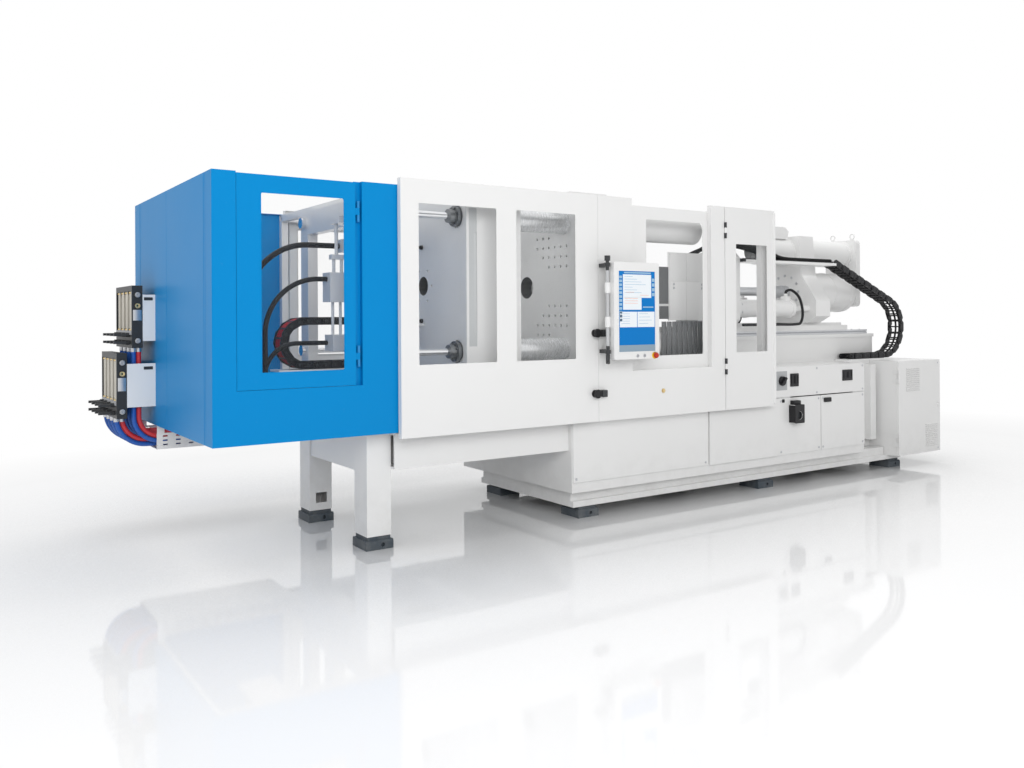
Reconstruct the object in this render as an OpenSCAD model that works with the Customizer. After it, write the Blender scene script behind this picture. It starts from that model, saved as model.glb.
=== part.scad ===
// Two-platen injection moulding machine with guards, injection unit, cabinet and water manifolds.
// X runs from the clamp end to the injection end, Y runs away from the operator, Z is up from the floor.

/* [Clamp axis and tie bars] */
// Height of the mould and screw axis above the floor
axis_z = 1620; // [1600:5:1640]
// Distance of that axis behind the operator-side face of the clamp guard
axis_y = 700; // [690:5:710]
// Spacing of the tie bars across the machine
tie_pitch_y = 920; // [900:5:935]
// Spacing of the tie bars up and down
tie_pitch_z = 880; // [870:5:885]
// Diameter of a tie bar
tie_d = 150; // [130:2:156]
// Diameter of the slim piston rod inside a tie bar
rod_d = 45; // [36:1:56]
// Depth of the locking grooves in a tie bar
groove_depth = 8; // [5:1:9]
// Pitch of the locking grooves
groove_pitch = 20; // [16:2:24]
// Outer diameter of a lock housing behind the fixed platen
lock_d = 290; // [270:5:300]
// Length of a lock housing
lock_len = 240; // [230:5:260]
// Outer diameter of the pressure tube behind a lock housing
tube_d = 200; // [190:2:220]
// Place of the end of the pressure tubes along the machine
tube_x1 = 3800; // [3790:5:3820]
// Half height of a half-nut jaw
jaw_half = 48; // [40:1:50]
// Distance that the jaws stand open
jaw_open = 14; // [12:1:18]

/* [Platens] */
// Place of the fixed platen's mould face along the machine
fixed_x = 2520; // [2510:5:2530]
// Thickness of the fixed platen
fixed_t = 300; // [260:5:310]
// Width of the fixed platen
fixed_w = 1210; // [1190:5:1210]
// Place of the moving platen's mould face along the machine
moving_x = 2070; // [2050:5:2080]
// Thickness of the moving platen
moving_t = 426; // [410:2:440]
// Width of the moving platen
moving_w = 1150; // [1130:5:1160]
// Height of the moving platen above and below the axis
moving_half_h = 590; // [570:5:600]
// Diameter of the locating bore for the mould
locate_d = 160; // [125:5:200]
// Depth of the straight locating bore
locate_depth = 100; // [60:5:120]
// Diameter of the round opening in the moving platen's back
rear_bore_d = 128; // [120:2:140]
// Pitch of the threaded mould fixing holes
hole_pitch = 70; // [66:1:72]
// Diameter of a mould fixing hole
hole_d = 20; // [14:1:24]
// Depth of a mould fixing hole
hole_depth = 55; // [40:5:80]
// Thickness of the robot plate on the fixed platen
robot_t = 45; // [30:5:60]

/* [Guards] */
// Length of the blue clamp guard
blue_len = 1093; // [1085:1:1100]
// Width of all the guards across the machine
guard_w = 1889; // [1860:5:1920]
// Height of the clamp guard's lower edge
guard_z0 = 716; // [710:2:724]
// Height of the clamp guard's upper edge
guard_z1 = 2196; // [2190:2:2210]
// Thickness of the guard sheet
sheet = 3; // [2:0.5:4]
// Distance that the white guards stand in front of the clamp guard
proud = 50; // [46:1:56]
// Depth of a sliding gate
gate_t = 40; // [36:1:42]
// Length of the operator gate
gate_len = 1503; // [1495:1:1510]
// Height of the lower edge of the white guards
white_z0 = 684; // [676:2:690]
// Height of the upper edge of the white guards
white_z1 = 2234; // [2226:2:2250]
// Corner radius of a window
window_r = 12; // [6:1:24]
// Thickness of a window pane
pane_t = 6; // [4:1:8]
// Overlap of a pane on its frame
pane_lap = 15; // [10:1:20]
// Left edge of the nozzle guard's opening
nozzle_x0 = 2903; // [2895:1:2910]
// Right edge of the nozzle guard's opening
nozzle_x1 = 3690; // [3680:1:3700]
// Lower edge of the nozzle guard's opening
nozzle_z0 = 1020; // [1010:2:1030]
// Left edge of the side door
side_x0 = 3842; // [3838:1:3848]
// Right edge of the side door
side_x1 = 4406; // [4400:1:4412]
// Left edge of the service door
service_x0 = 132; // [126:1:140]
// Right edge of the service door
service_x1 = 822; // [816:1:828]
// Lower edge of the service door
service_z0 = 1013; // [1005:1:1020]
// Thickness of a hinged door
door_t = 30; // [26:1:32]
// Section of the square guard frame tubes
post_w = 50; // [46:1:52]
// Place of the operator-side frame tubes across the machine
post_y = 36; // [35:1:38]

/* [Bed and floor] */
// Left end of the main bed
bed_x0 = 2440; // [2430:5:2450]
// Right end of the main bed
bed_x1 = 6115; // [6105:5:6120]
// Operator-side face of the main bed
bed_y0 = 60; // [55:1:70]
// Width of the main bed
bed_w = 1440; // [1400:10:1480]
// Height of the bed's top
bed_top = 980; // [975:1:985]
// Height of the bed's lower edge above the floor
bed_z0 = 190; // [180:2:200]
// Height of the plinth frame's underside, which is the height of the feet
plinth_z0 = 80; // [74:1:90]
// Width of a levelling foot along the machine
foot_w = 180; // [160:5:200]
// Width of a levelling foot across the machine
foot_d = 200; // [180:5:220]
// Left side of the end portal's legs
leg_x0 = 955; // [950:1:960]
// Width of a portal leg along the machine
leg_w = 160; // [150:2:170]
// Operator-side face of the near leg
leg_y0 = 150; // [145:1:160]
// Width of a portal leg across the machine
leg_d = 180; // [170:2:190]
// Operator-side face of the far leg
leg_y1 = 1072; // [1065:1:1080]
// Top of the clamp bed girders
girder_top = 700; // [690:2:704]
// Height of the clamp bed girders
girder_h = 220; // [200:5:240]

/* [Injection unit] */
// Left end of the raised injection bed
rail_x0 = 3100; // [3080:5:3120]
// Right end of the raised injection bed
rail_x1 = 6430; // [6400:5:6440]
// Top of the raised injection bed
rail_bed_top = 1225; // [1215:1:1235]
// Spacing of the guide rails across the machine
rail_pitch = 380; // [360:5:400]
// Outer diameter of the barrel
barrel_d = 200; // [180:2:210]
// Diameter of the screw's bore
screw_d = 80; // [60:1:90]
// Place of the nozzle tip along the machine
nozzle_tip = 2860; // [2855:1:2870]
// Stroke of the screw ahead of its drawn place
shot = 150; // [120:5:150]
// Outer diameter of the screw drive housing on the axis
drum_d = 370; // [350:5:380]
// Diameter of the screw motor above the drive housing
motor_d = 250; // [230:5:260]
// Height of the screw motor above the axis
motor_rise = 370; // [350:5:385]
// Diameter of an injection cylinder
inj_cyl_d = 150; // [130:5:160]
// Distance of the injection cylinders from the axis across the machine
inj_cyl_y = 250; // [245:1:260]
// Drop of the injection cylinders below the axis
inj_cyl_drop = 155; // [150:1:160]

/* [Energy chains] */
// Pitch of the chain links
link_pitch = 60; // [54:1:66]
// Height of a chain link
link_h = 50; // [44:1:52]
// Width of a chain
link_w = 140; // [120:2:150]
// Thickness of a link's side plate
link_t = 8; // [6:1:9]
// Bend radius of the injection unit's chain
inj_bend = 270; // [260:2:275]
// Bend radius of the clamp unit's chain
clamp_bend = 142; // [136:2:148]

/* [Operator panel] */
// Width of the operator panel
panel_w = 410; // [390:5:430]
// Height of the operator panel
panel_h = 660; // [640:5:680]
// Thickness of the operator panel
panel_t = 60; // [50:2:64]
// Diameter of the panel's pivot rod
pivot_d = 24; // [20:1:26]

/* [Cabinet and water] */
// Width of the control cabinet along the machine
cab_len = 666; // [650:2:680]
// Depth of the control cabinet
cab_depth = 1115; // [1100:5:1130]
// Height of the cabinet's underside
cab_z0 = 120; // [118:1:124]
// Top of the cabinet
cab_z1 = 980; // [970:2:985]
// Thickness of the cabinet door
cab_door_t = 25; // [22:1:28]
// Number of louvres in a grille
louvres = 12; // [8:1:14]
// Channels of a water manifold
channels = 4; // [3:1:4]
// Pitch of the water channels
channel_pitch = 120; // [115:1:122]
// Diameter of a water hose
hose_d = 30; // [24:1:34]
// Reach of the valve levers beyond the clamp guard's end
lever_reach = 330; // [322:1:340]

/* [Hidden] */
$fn = 32;
// Clearance round a shaft that runs in a bore
run_gap = 0.1;
// Clearance beside a piece that slides or is lifted off
slide_gap = 0.3;
// Gap of a door at its seams
seam = 2;
white = [0.87, 0.87, 0.86];
blue = [0.0, 0.53, 0.82];
dark = [0.16, 0.17, 0.18];
steel = [0.72, 0.73, 0.74];
chrome = [0.85, 0.86, 0.88];
grey = [0.62, 0.63, 0.64];
// Outer faces that set the footprint, whose middle is the origin
cab_x0 = bed_x1 + 6;
cab_x1 = cab_x0 + cab_len;
gate_y0 = -proud;
gate_y1 = gate_y0 + gate_t;
panel_y1 = gate_y0 - 95;
panel_y0 = panel_y1 - panel_t;
stop_reach = 27;
mid_x = (cab_x1 - lever_reach) / 2;
mid_y = (guard_w + proud + panel_y0 - stop_reach) / 2;
// Guards and their frame
gate_x0 = blue_len - 5;
gate_x1 = gate_x0 + gate_len;
fixed_guard_x0 = gate_x1 + seam;
post_y1 = post_y + post_w;
far_post_y = guard_w - sheet - post_w;
top_z1 = guard_z1 - 6;
top_z0 = top_z1 - post_w;
frame_x0 = 10;
blue_post_x = blue_len - post_w - sheet;
post_xs = [gate_x1 + 9, nozzle_x1 + 102, side_x1 - 56];
sill_z0 = girder_top;
gate_window_z = [1117, 2090];
gate_windows = [[gate_x0 + 119, gate_x0 + 676], [gate_x0 + 827, gate_x0 + 1309]];
nozzle_window = [3070, 3640];
nozzle_window_z = [1116, 2100];
side_window = [3960, 4315];
side_window_z = [1120, 1955];
service_window = [267, 750];
service_window_z = [1105, 2089];
service_z1 = guard_z1 - 8;
service_groove_x1 = service_x1 + 42;
nozzle_guard_y = [gate_y1, gate_y1 + 25];
roller_r = 17.7;
roller_xs = [gate_x0 + 62, gate_x0 + 462];
roller_zs = [girder_top + 20, top_z0 + 30];
channel_half = roller_r + 0.3;
// Clamp unit
tie_r = tie_d / 2;
tie_ys = [axis_y - tie_pitch_y / 2, axis_y + tie_pitch_y / 2];
tie_zs = [axis_z - tie_pitch_z / 2, axis_z + tie_pitch_z / 2];
fixed_x1 = fixed_x + fixed_t;
fixed_z0 = bed_top + 30;
fixed_z1 = axis_z + moving_half_h + 20;
moving_x0 = moving_x - moving_t;
tie_x0 = moving_x0 + 16;
tie_x1 = fixed_x1 + 830;
piston_x = moving_x0 + 256;
tie_bore_r = rod_d / 2 + 22;
gland_t = 70;
gland_d = 135;
clamp_rail_ys = [axis_y - 400, axis_y + 400];
clamp_rail_h = 52;
moving_foot_z = girder_top + clamp_rail_h;
anchor_x = [leg_x0 + 5, leg_x0 + 75];
anchor_col_w = 130;
anchor_nut_r = rod_d / 2 + 16;
lock_x1 = fixed_x1 + lock_len;
jaw_x = [fixed_x1 + 62, fixed_x1 + 178];
jaw_reach = lock_d / 2 - 5;
cavity_x = [moving_x0 + 60, moving_x - 90];
cavity_half = 200;
eject_plate_x = cavity_x[0] + 136;
eject_plate_t = 28;
eject_rod_at = 140;
eject_rod_r = 15;
// Injection unit
rail_ys = [axis_y - rail_pitch / 2, axis_y + rail_pitch / 2];
rail_h = 40;
rail_bed_y = [axis_y - 240, axis_y + 240];
carriage_z0 = rail_bed_top + rail_h + slide_gap;
carriage_z1 = carriage_z0 + 45;
carriage_x = [4050, 6060];
front_plate_x = [4400, 4470];
barrel_x = [3100, 4400];
feed_x = [4160, 4340];
cyl_x = [4470, 5200];
thrust_x = [5450, 5650];
drum_x1 = 6280;
gear_x1 = 6345;
inj_cyl_ys = [axis_y - inj_cyl_y, axis_y + inj_cyl_y];
inj_cyl_z = axis_z - inj_cyl_drop;
motor_z = axis_z + motor_rise;
nozzle_cyl_ys = [axis_y - 290, axis_y + 290];
nozzle_cyl_z = axis_z - 130;
cyl_rod_r = 27;
guide_rod_r = 20;
// Chains: where the runs start and how far the lower runs reach
inj_chain_y = 370;
inj_chain_start = [5670, 1880];
tray_top = inj_chain_start[1] - link_h / 2 - slide_gap;
inj_chain_far = 6705;
inj_chain_low = bed_top + 15 + link_h / 2;
inj_chain_end = 5880;
clamp_chain_y = 750;
clamp_chain_x = 640;
clamp_chain_z = 1242;
clamp_chain_top_end = 1340;
clamp_chain_low_end = 1180;
// Operator panel
pivot_x = gate_x1 - 13;
pivot_y = gate_y0 - 115;
panel_x0 = pivot_x + 22;
panel_z0 = 1110;
panel_z1 = panel_z0 + panel_h;
pivot_z = [1176, 1752];
button_z = 1132;
stop_x = panel_x0 + 366;
button_xs = [panel_x0 + 210, panel_x0 + 273];
button_r = 9;
stop_r = 20;
// Main bed
bed_y1 = bed_y0 + bed_w;
front_z0 = 262;
front_t = 12;
feet_at = [
    for (y = [leg_y0 + leg_d / 2, leg_y1 + leg_d / 2]) [leg_x0 + leg_w / 2, y],
    for (x = [2621, 4467, 6234]) for (y = [205, 1193]) [x, y]
];
bay_x = [[2560, 3700], [3860, 4560], [4720, 5560]];
switch_x = 4600;
switch_z = 867;
duct_x = [5990, 6070];
recess_x0 = 5712;
panel_xs = [[bed_x0 + 5, 3748], [3756, 4558], [4566, 5098], [5106, recess_x0 - 6]];
recess_y = 277;
// Water
lever_len = 96;
manifold_y = [1290, 1800];
upper_manifold = [-142, -77, 1218, 1618];
lower_manifold = [lever_len - lever_reach, lever_len + 61 - lever_reach, 770, 1186];
// Clamp-end hoses: right end, depth, height, bend, left reach, radius
hose_ends = [[900, 425, 1850, 380, 320, 17], [795, 365, 1640, 330, 410, 15], [820, 425, 1250, 200, 425, 14]];
tray_y = [1310, 1830];
tray_z = [556, 660];
tray_x1 = 940;
hose_gap = hose_d + 2;

// Shared shapes

module placed() {
    translate([-mid_x, -mid_y, 0]) children();
}

module block(x, y, z) {
    translate([x[0], y[0], z[0]]) cube([x[1] - x[0], y[1] - y[0], z[1] - z[0]]);
}

module rod_x(x, r, y, z) {
    translate([x[0], y, z]) rotate([0, 90, 0]) cylinder(h = x[1] - x[0], r = r);
}

module rod_y(y, r, x, z) {
    translate([x, y[0], z]) rotate([-90, 0, 0]) cylinder(h = y[1] - y[0], r = r);
}

module rod_z(z, r, x, y) {
    translate([x, y, z[0]]) cylinder(h = z[1] - z[0], r = r);
}

// A body turned about an axis along X, from points of distance along X and radius
module turned_x(points, y, z) {
    translate([0, y, z]) rotate([0, 90, 0]) rotate_extrude() polygon([for (p = points) [p[1], p[0]]]);
}

module upright(y, t) {
    translate([0, y + t, 0]) rotate([90, 0, 0]) linear_extrude(t) children();
}

module crosswise(x, t) {
    translate([x, 0, 0]) rotate([90, 0, 90]) linear_extrude(t) children();
}

module flat_rect(x, z) {
    translate([x[0], z[0]]) square([x[1] - x[0], z[1] - z[0]]);
}

module soft_rect(x, z, r) {
    flat_rect([x[0] + r, x[1] - r], z);
    flat_rect(x, [z[0] + r, z[1] - r]);
    for (px = [x[0] + r, x[1] - r]) for (pz = [z[0] + r, z[1] - r]) translate([px, pz]) circle(r);
}

// A rectangle with its four corners cut off
module cut_rect(x, z, c) {
    polygon([
        [x[0] + c, z[0]], [x[1] - c, z[0]], [x[1], z[0] + c], [x[1], z[1] - c],
        [x[1] - c, z[1]], [x[0] + c, z[1]], [x[0], z[1] - c], [x[0], z[0] + c]
    ]);
}

// A folded sheet-metal door: skin at the front, folded edges behind it, round-cornered windows
module folded_door(x, z, y, depth, windows, window_z) {
    difference() {
        union() {
            upright(y, sheet) flat_rect(x, z);
            upright(y, depth) difference() {
                flat_rect(x, z);
                flat_rect([x[0] + sheet, x[1] - sheet], [z[0] + sheet, z[1] - sheet]);
            }
        }
        for (w = windows) upright(y - 1, sheet + 2) soft_rect(w, window_z, window_r);
    }
}

module pane(x, z, y) {
    upright(y, pane_t) soft_rect(
        [x[0] - pane_lap, x[1] + pane_lap], [z[0] - pane_lap, z[1] + pane_lap], window_r + pane_lap
    );
}

// A hollow square tube along X, Y or Z
module tube_along_x(x, y, z) {
    difference() {
        block(x, y, z);
        block([x[0] - 1, x[1] + 1], [y[0] + 4, y[1] - 4], [z[0] + 4, z[1] - 4]);
    }
}

module tube_along_y(x, y, z) {
    difference() {
        block(x, y, z);
        block([x[0] + 4, x[1] - 4], [y[0] - 1, y[1] + 1], [z[0] + 4, z[1] - 4]);
    }
}

module tube_along_z(x, y, z) {
    difference() {
        block(x, y, z);
        block([x[0] + 4, x[1] - 4], [y[0] + 4, y[1] - 4], [z[0] - 1, z[1] + 1]);
    }
}

// A hose that comes down, bends through a quarter turn and runs on towards +X
module down_and_along(x, y, top, bend, run_z, end_x, r) {
    rod_z([run_z + bend, top], r, x, y);
    translate([x + bend, y, run_z + bend]) rotate([90, 0, 0]) rotate([0, 0, 180])
        rotate_extrude(angle = 90) translate([bend, 0]) circle(r);
    rod_x([x + bend, end_x], r, y, run_z);
}

module bolt_ring(x, pcd, n, r, y, z, start = 0) {
    for (i = [0 : n - 1]) {
        a = start + i * 360 / n;
        rod_x(x, r, y + pcd / 2 * cos(a), z + pcd / 2 * sin(a));
    }
}

// Energy chain path: sloping run from a start point, round the bend, back along the low run
function chain_dir(s, c, r) = atan2(c[1] - s[1], c[0] - s[0]) + asin(r / norm(c - s));
function chain_run(s, c, r) = sqrt(norm(c - s) * norm(c - s) - r * r);
function chain_sweep(s, c, r) = chain_dir(s, c, r) + 180;
function chain_arc(s, c, r) = r * chain_sweep(s, c, r) * PI / 180;
function chain_at(t, s, c, r) =
    t < chain_run(s, c, r)
        ? s + t * [cos(chain_dir(s, c, r)), sin(chain_dir(s, c, r))]
        : t < chain_run(s, c, r) + chain_arc(s, c, r)
            ? let (a = chain_dir(s, c, r) + 90 - (t - chain_run(s, c, r)) / r * 180 / PI)
                c + r * [cos(a), sin(a)]
            : [c[0] - (t - chain_run(s, c, r) - chain_arc(s, c, r)), c[1] - r];

module chain_link(wide) {
    half = wide ? link_w / 2 : link_w / 2 - link_t - 0.6;
    for (side = [-1, 1]) {
        low = side < 0 ? -half : half - link_t;
        translate([0, low + link_t, 0]) rotate([90, 0, 0]) linear_extrude(link_t) {
            translate([0, -link_h / 2]) square([link_pitch, link_h]);
            circle(link_h / 2);
            translate([link_pitch, 0]) circle(link_h / 2);
        }
    }
    for (z = [-link_h / 2 + 5, link_h / 2 - 5])
        block([link_pitch / 2 - 6, link_pitch / 2 + 6], [-half + 1, half - 1], [z - 3, z + 3]);
}

// A whole chain from its start, links alternating between outer and inner plates
module chain(s, c, r, n, y) {
    for (i = [0 : n - 1]) {
        p = chain_at(i * link_pitch, s, c, r);
        q = chain_at((i + 1) * link_pitch, s, c, r);
        translate([p[0], y, p[1]]) rotate([0, -atan2(q[1] - p[1], q[0] - p[0]), 0]) chain_link(i % 2 == 0);
    }
}

// Machine bed and floor

module main_base() color(white) placed() {
    difference() {
        block([bed_x0, bed_x1], [bed_y0, bed_y1], [bed_z0, bed_top]);
        for (b = bay_x) block(b, [bed_y0 - 1, bed_y1 - 60], [front_z0 + 20, bed_top - 80]);
        block([recess_x0, bed_x1 + 1], [bed_y0 - 1, recess_y], [front_z0, bed_top + 1]);
        block([recess_x0, bed_x1 + 1], [bed_y0 - 1, recess_y], [bed_z0 - 1, front_z0 + 1]);
    }
    difference() {
        block([bed_x0 + 45, bed_x1 + 205], [bed_y0 + 45, 1300], [plinth_z0, cab_z0]);
        block([bed_x0 + 200, bed_x1], [bed_y0 + 200, 1150], [plinth_z0 - 1, cab_z0 + 1]);
    }
    block([bed_x0 + 45, bed_x1 - 2], [bed_y0 + 75, 1270], [cab_z0, bed_z0]);
}

module base_panels() color(white) placed() {
    low = [front_z0, 724];
    high = [733, bed_top - 6];
    for (g = [panel_xs[0], panel_xs[2], panel_xs[3]]) upright(bed_y0 - front_t, front_t) soft_rect(g, low, 6);
    difference() {
        upright(bed_y0 - 2 * front_t, 2 * front_t) soft_rect(panel_xs[1], low, 6);
        block([panel_xs[1][0] + 14, panel_xs[1][1] - 14], [bed_y0 - front_t, bed_y0 + 1], [front_z0 + 14, 710]);
    }
    difference() {
        upright(bed_y0 - front_t, front_t) soft_rect([side_x1 + 8, recess_x0 - 6], high, 6);
        rod_y([bed_y0 - front_t - 1, bed_y0 + 1], 13 + run_gap, switch_x, switch_z);
    }
    difference() {
        block([4690, 4806], [bed_y0 - front_t - 62, bed_y0 - front_t], [518, 668]);
        rod_y([bed_y0 - front_t - 63, bed_y0 - front_t - 20], 34, 4748, 580);
    }
    block([4706, 4790], [bed_y0 - front_t - 40, bed_y0 - front_t], [668, 700]);
    upright(bed_y0 - front_t - 8, 8) soft_rect([5140, 5232], [664, 700], 8);
    difference() {
        block(duct_x, [recess_y - 97, recess_y], [front_z0, bed_top - 30]);
        block([duct_x[0] + 4, duct_x[1] - 4], [recess_y - 93, recess_y - 4], [front_z0 - 1, bed_top - 29]);
    }
}

module levelling_feet() color(dark) placed() {
    for (f = feet_at) {
        difference() {
            crosswise(f[0] - foot_w / 2, foot_w) polygon([
                [f[1] - foot_d / 2, 0], [f[1] + foot_d / 2, 0], [f[1] + foot_d / 2, 48],
                [f[1] + foot_d / 2 - 8, 56], [f[1] - foot_d / 2 + 8, 56], [f[1] - foot_d / 2, 48]
            ]);
            rod_y([f[1] - foot_d / 2 - 1, f[1] - foot_d / 2 + 60], 13, f[0] + 20, 28);
        }
        block([f[0] - 76, f[0] + 76], [f[1] - 84, f[1] + 84], [56, plinth_z0]);
        rod_y([f[1] - foot_d / 2 + 20, f[1] - foot_d / 2 + 60], 12, f[0] + 20, 28);
    }
}

module end_portal() color(white) placed() {
    leg_x = [leg_x0, leg_x0 + leg_w];
    for (y = [leg_y0, leg_y1]) difference() {
        block(leg_x, [y, y + leg_d], [plinth_z0, guard_z0]);
        block([leg_x[0] + 10, leg_x[1] - 10], [y + 10, y + leg_d - 10], [plinth_z0 - 1, guard_z0 - 10]);
        inner = y == leg_y0 ? y + leg_d - 11 : y - 1;
        block([leg_x[0] + 45, leg_x[1] - 35], [inner, inner + 12], [130, 200]);
    }
    block([leg_x[0] + 10, leg_x[1] - 10], [leg_y0 + leg_d, leg_y1], [460, guard_z0]);
    // Ring frame that anchors the four piston rods
    crosswise(anchor_x[0], anchor_x[1] - anchor_x[0]) difference() {
        flat_rect([tie_ys[0] - anchor_col_w / 2, tie_ys[1] + anchor_col_w / 2], [guard_z0, tie_zs[1] + 80]);
        flat_rect([tie_ys[0] + anchor_col_w / 2, tie_ys[1] - anchor_col_w / 2], [guard_z0 + 90, tie_zs[1] - 80]);
        for (y = tie_ys) for (z = tie_zs) translate([y, z]) circle(rod_d / 2 + run_gap);
    }
    block([anchor_x[0] - 360, anchor_x[0]], [clamp_chain_y - 85, clamp_chain_y + 85],
        [clamp_chain_z - clamp_bend - link_h / 2 - 12, clamp_chain_z - clamp_bend - link_h / 2 - slide_gap]);
    block([anchor_x[0], anchor_x[1]], [clamp_chain_y - 85, clamp_chain_y + 85],
        [guard_z0 + 90, clamp_chain_z - clamp_bend - link_h / 2 - slide_gap]);
}

module clamp_bed() color(white) placed() {
    z = [girder_top - girder_h, girder_top];
    gx = [leg_x0 + leg_w, bed_x0];
    for (y = [leg_y0 - 50, leg_y1 + 68]) difference() {
        block(gx, [y, y + 160], z);
        block([gx[0] - 1, gx[1] + 1], [y + 12, y + 148], [z[0] + 14, z[1] - 14]);
    }
    for (x = [1240, 1760, 2280])
        block([x, x + 90], [leg_y0 + 110, leg_y1 + 68], [z[0] + 30, z[0] + 160]);
    for (y = clamp_rail_ys) crosswise(gx[0] + 30, bed_x0 - gx[0] - 35) polygon([
        [y - 70, girder_top], [y + 70, girder_top], [y + 70, girder_top + 18],
        [y + 52, girder_top + clamp_rail_h - slide_gap], [y - 52, girder_top + clamp_rail_h - slide_gap],
        [y - 70, girder_top + 18]
    ]);
    for (y = [clamp_rail_ys[0] - 70, clamp_rail_ys[1] - 70])
        block([gx[0] + 30, bed_x0 - 5], [y, y + 140], [girder_top - 40, girder_top]);
}

// Clamp unit

// Mould fixing holes of one face, as offsets from the axis, thinned towards the middle
module mould_holes(x) {
    for (sy = [-1, 1]) for (sz = [-1, 1]) for (row = [
        [hole_pitch * 2, [4, 5, 6, 7]],
        [hole_pitch * 3, [3, 4, 5, 6, 7]],
        [hole_pitch * 4, [2, 3, 4, 5, 6, 7]],
        [hole_pitch * 5, [2, 3, 4]]
    ]) for (k = row[1])
        rod_x(x, hole_d / 2, axis_y + sy * k * hole_pitch, axis_z + sz * row[0]);
}

module fixed_platen() color(steel) placed() {
    difference() {
        union() {
            crosswise(fixed_x, fixed_t)
                cut_rect([axis_y - fixed_w / 2, axis_y + fixed_w / 2], [fixed_z0, fixed_z1], 70);
            for (s = [-1, 1]) block([fixed_x, fixed_x1], [axis_y + s * 430 - 120, axis_y + s * 430 + 120],
                [bed_top, fixed_z0 + 20]);
        }
        for (y = tie_ys) for (z = tie_zs) rod_x([fixed_x - 1, fixed_x1 + 1], tie_r + run_gap, y, z);
        mould_holes([fixed_x - 1, fixed_x + hole_depth]);
        turned_x([[fixed_x - 1, 0], [fixed_x - 1, locate_d / 2], [fixed_x + locate_depth, locate_d / 2],
            [fixed_x + locate_depth, 170], [fixed_x1 + 1, 170], [fixed_x1 + 1, 0]], axis_y, axis_z);
        // Pockets that lighten the back of the casting
        for (s = [-1, 1]) crosswise(fixed_x + 130, fixed_t) {
            translate([axis_y, axis_z + s * 370]) soft_rect([-230, 230], [-120, 120], 40);
            translate([axis_y + s * 440, axis_z]) soft_rect([-110, 110], [-180, 180], 40);
        }
    }
}

module robot_plate() color(white) placed() {
    difference() {
        block([fixed_x - 20, fixed_x1 + 10], [axis_y - 560, axis_y + 560], [fixed_z1, fixed_z1 + robot_t]);
        for (x = [fixed_x + 50, fixed_x + 250]) for (y = [axis_y - 200, axis_y + 200])
            rod_z([fixed_z1 - 1, fixed_z1 + robot_t + 1], 9, x, y);
    }
}

module lock_housings() color(white) placed() {
    for (y = tie_ys) for (z = tie_zs) difference() {
        turned_x([
            [fixed_x1, tie_r + slide_gap], [fixed_x1, lock_d / 2], [lock_x1 - 12, lock_d / 2],
            [lock_x1, lock_d / 2 - 12], [lock_x1, tube_d / 2], [tube_x1 - 8, tube_d / 2],
            [tube_x1, tube_d / 2 - 8], [tube_x1, 0], [tube_x1 - 16, 0], [tube_x1 - 16, tie_r + 10],
            [lock_x1, tie_r + 10], [lock_x1, tie_r + slide_gap]
        ], y, z);
        block([jaw_x[0] - 2, jaw_x[1] + 2], [y - lock_d, y + lock_d],
            [z - jaw_half - slide_gap, z + jaw_half + slide_gap]);
    }
}

module piston_rods() color(chrome) placed() {
    for (y = tie_ys) for (z = tie_zs) {
        rod_x([anchor_x[0] - 20, piston_x], rod_d / 2, y, z);
        rod_x([piston_x, piston_x + 40], tie_bore_r - slide_gap, y, z);
        rod_x([anchor_x[0] - 30, anchor_x[0]], anchor_nut_r, y, z);
    }
    for (y = nozzle_cyl_ys) rod_x([fixed_x1, 3560], guide_rod_r, y, nozzle_cyl_z);
}

module moving_platen() color(steel) placed() {
    z = [axis_z - moving_half_h, axis_z + moving_half_h];
    difference() {
        union() {
            crosswise(moving_x0, moving_t)
                cut_rect([axis_y - moving_w / 2, axis_y + moving_w / 2], z, 60);
            // Arm that tows the upper end of the energy chain
            block([clamp_chain_top_end - 20, moving_x0], [clamp_chain_y - 60, clamp_chain_y + 60],
                [clamp_chain_z + clamp_bend - link_h / 2 - 12, clamp_chain_z + clamp_bend - link_h / 2 - slide_gap]);
            for (y = clamp_rail_ys) crosswise(moving_x0 + 40, moving_t - 40) polygon([
                [y - 95, z[0] + 5], [y - 120, moving_foot_z], [y + 120, moving_foot_z], [y + 95, z[0] + 5]
            ]);
        }
        for (y = tie_ys) for (zz = tie_zs) rod_x([moving_x0 - 1, moving_x + 1], tie_r + run_gap, y, zz);
        for (s = [-1, 1]) block(cavity_x, [axis_y + s * moving_w / 2 - 70, axis_y + s * moving_w / 2 + 70],
            [axis_z - 330, axis_z + 330]);
        block(cavity_x, [axis_y - moving_w, axis_y + moving_w], [axis_z - cavity_half, axis_z + cavity_half]);
        rod_x([moving_x0 - 1, cavity_x[0] + 1], rear_bore_d / 2, axis_y, axis_z);
        rod_x([cavity_x[1] - 1, moving_x + 1], locate_d / 2, axis_y, axis_z);
        for (sy = [-1, 1]) for (sz = [-1, 1]) rod_x([cavity_x[1] - 1, moving_x + 1], eject_rod_r + run_gap,
            axis_y + sy * eject_rod_at, axis_z + sz * eject_rod_at);
        mould_holes([moving_x - hole_depth, moving_x + 1]);
        bolt_ring([moving_x0 - 1, moving_x0 + 30], rear_bore_d + 110, 6, 9, axis_y, axis_z);
    }
}

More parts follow.
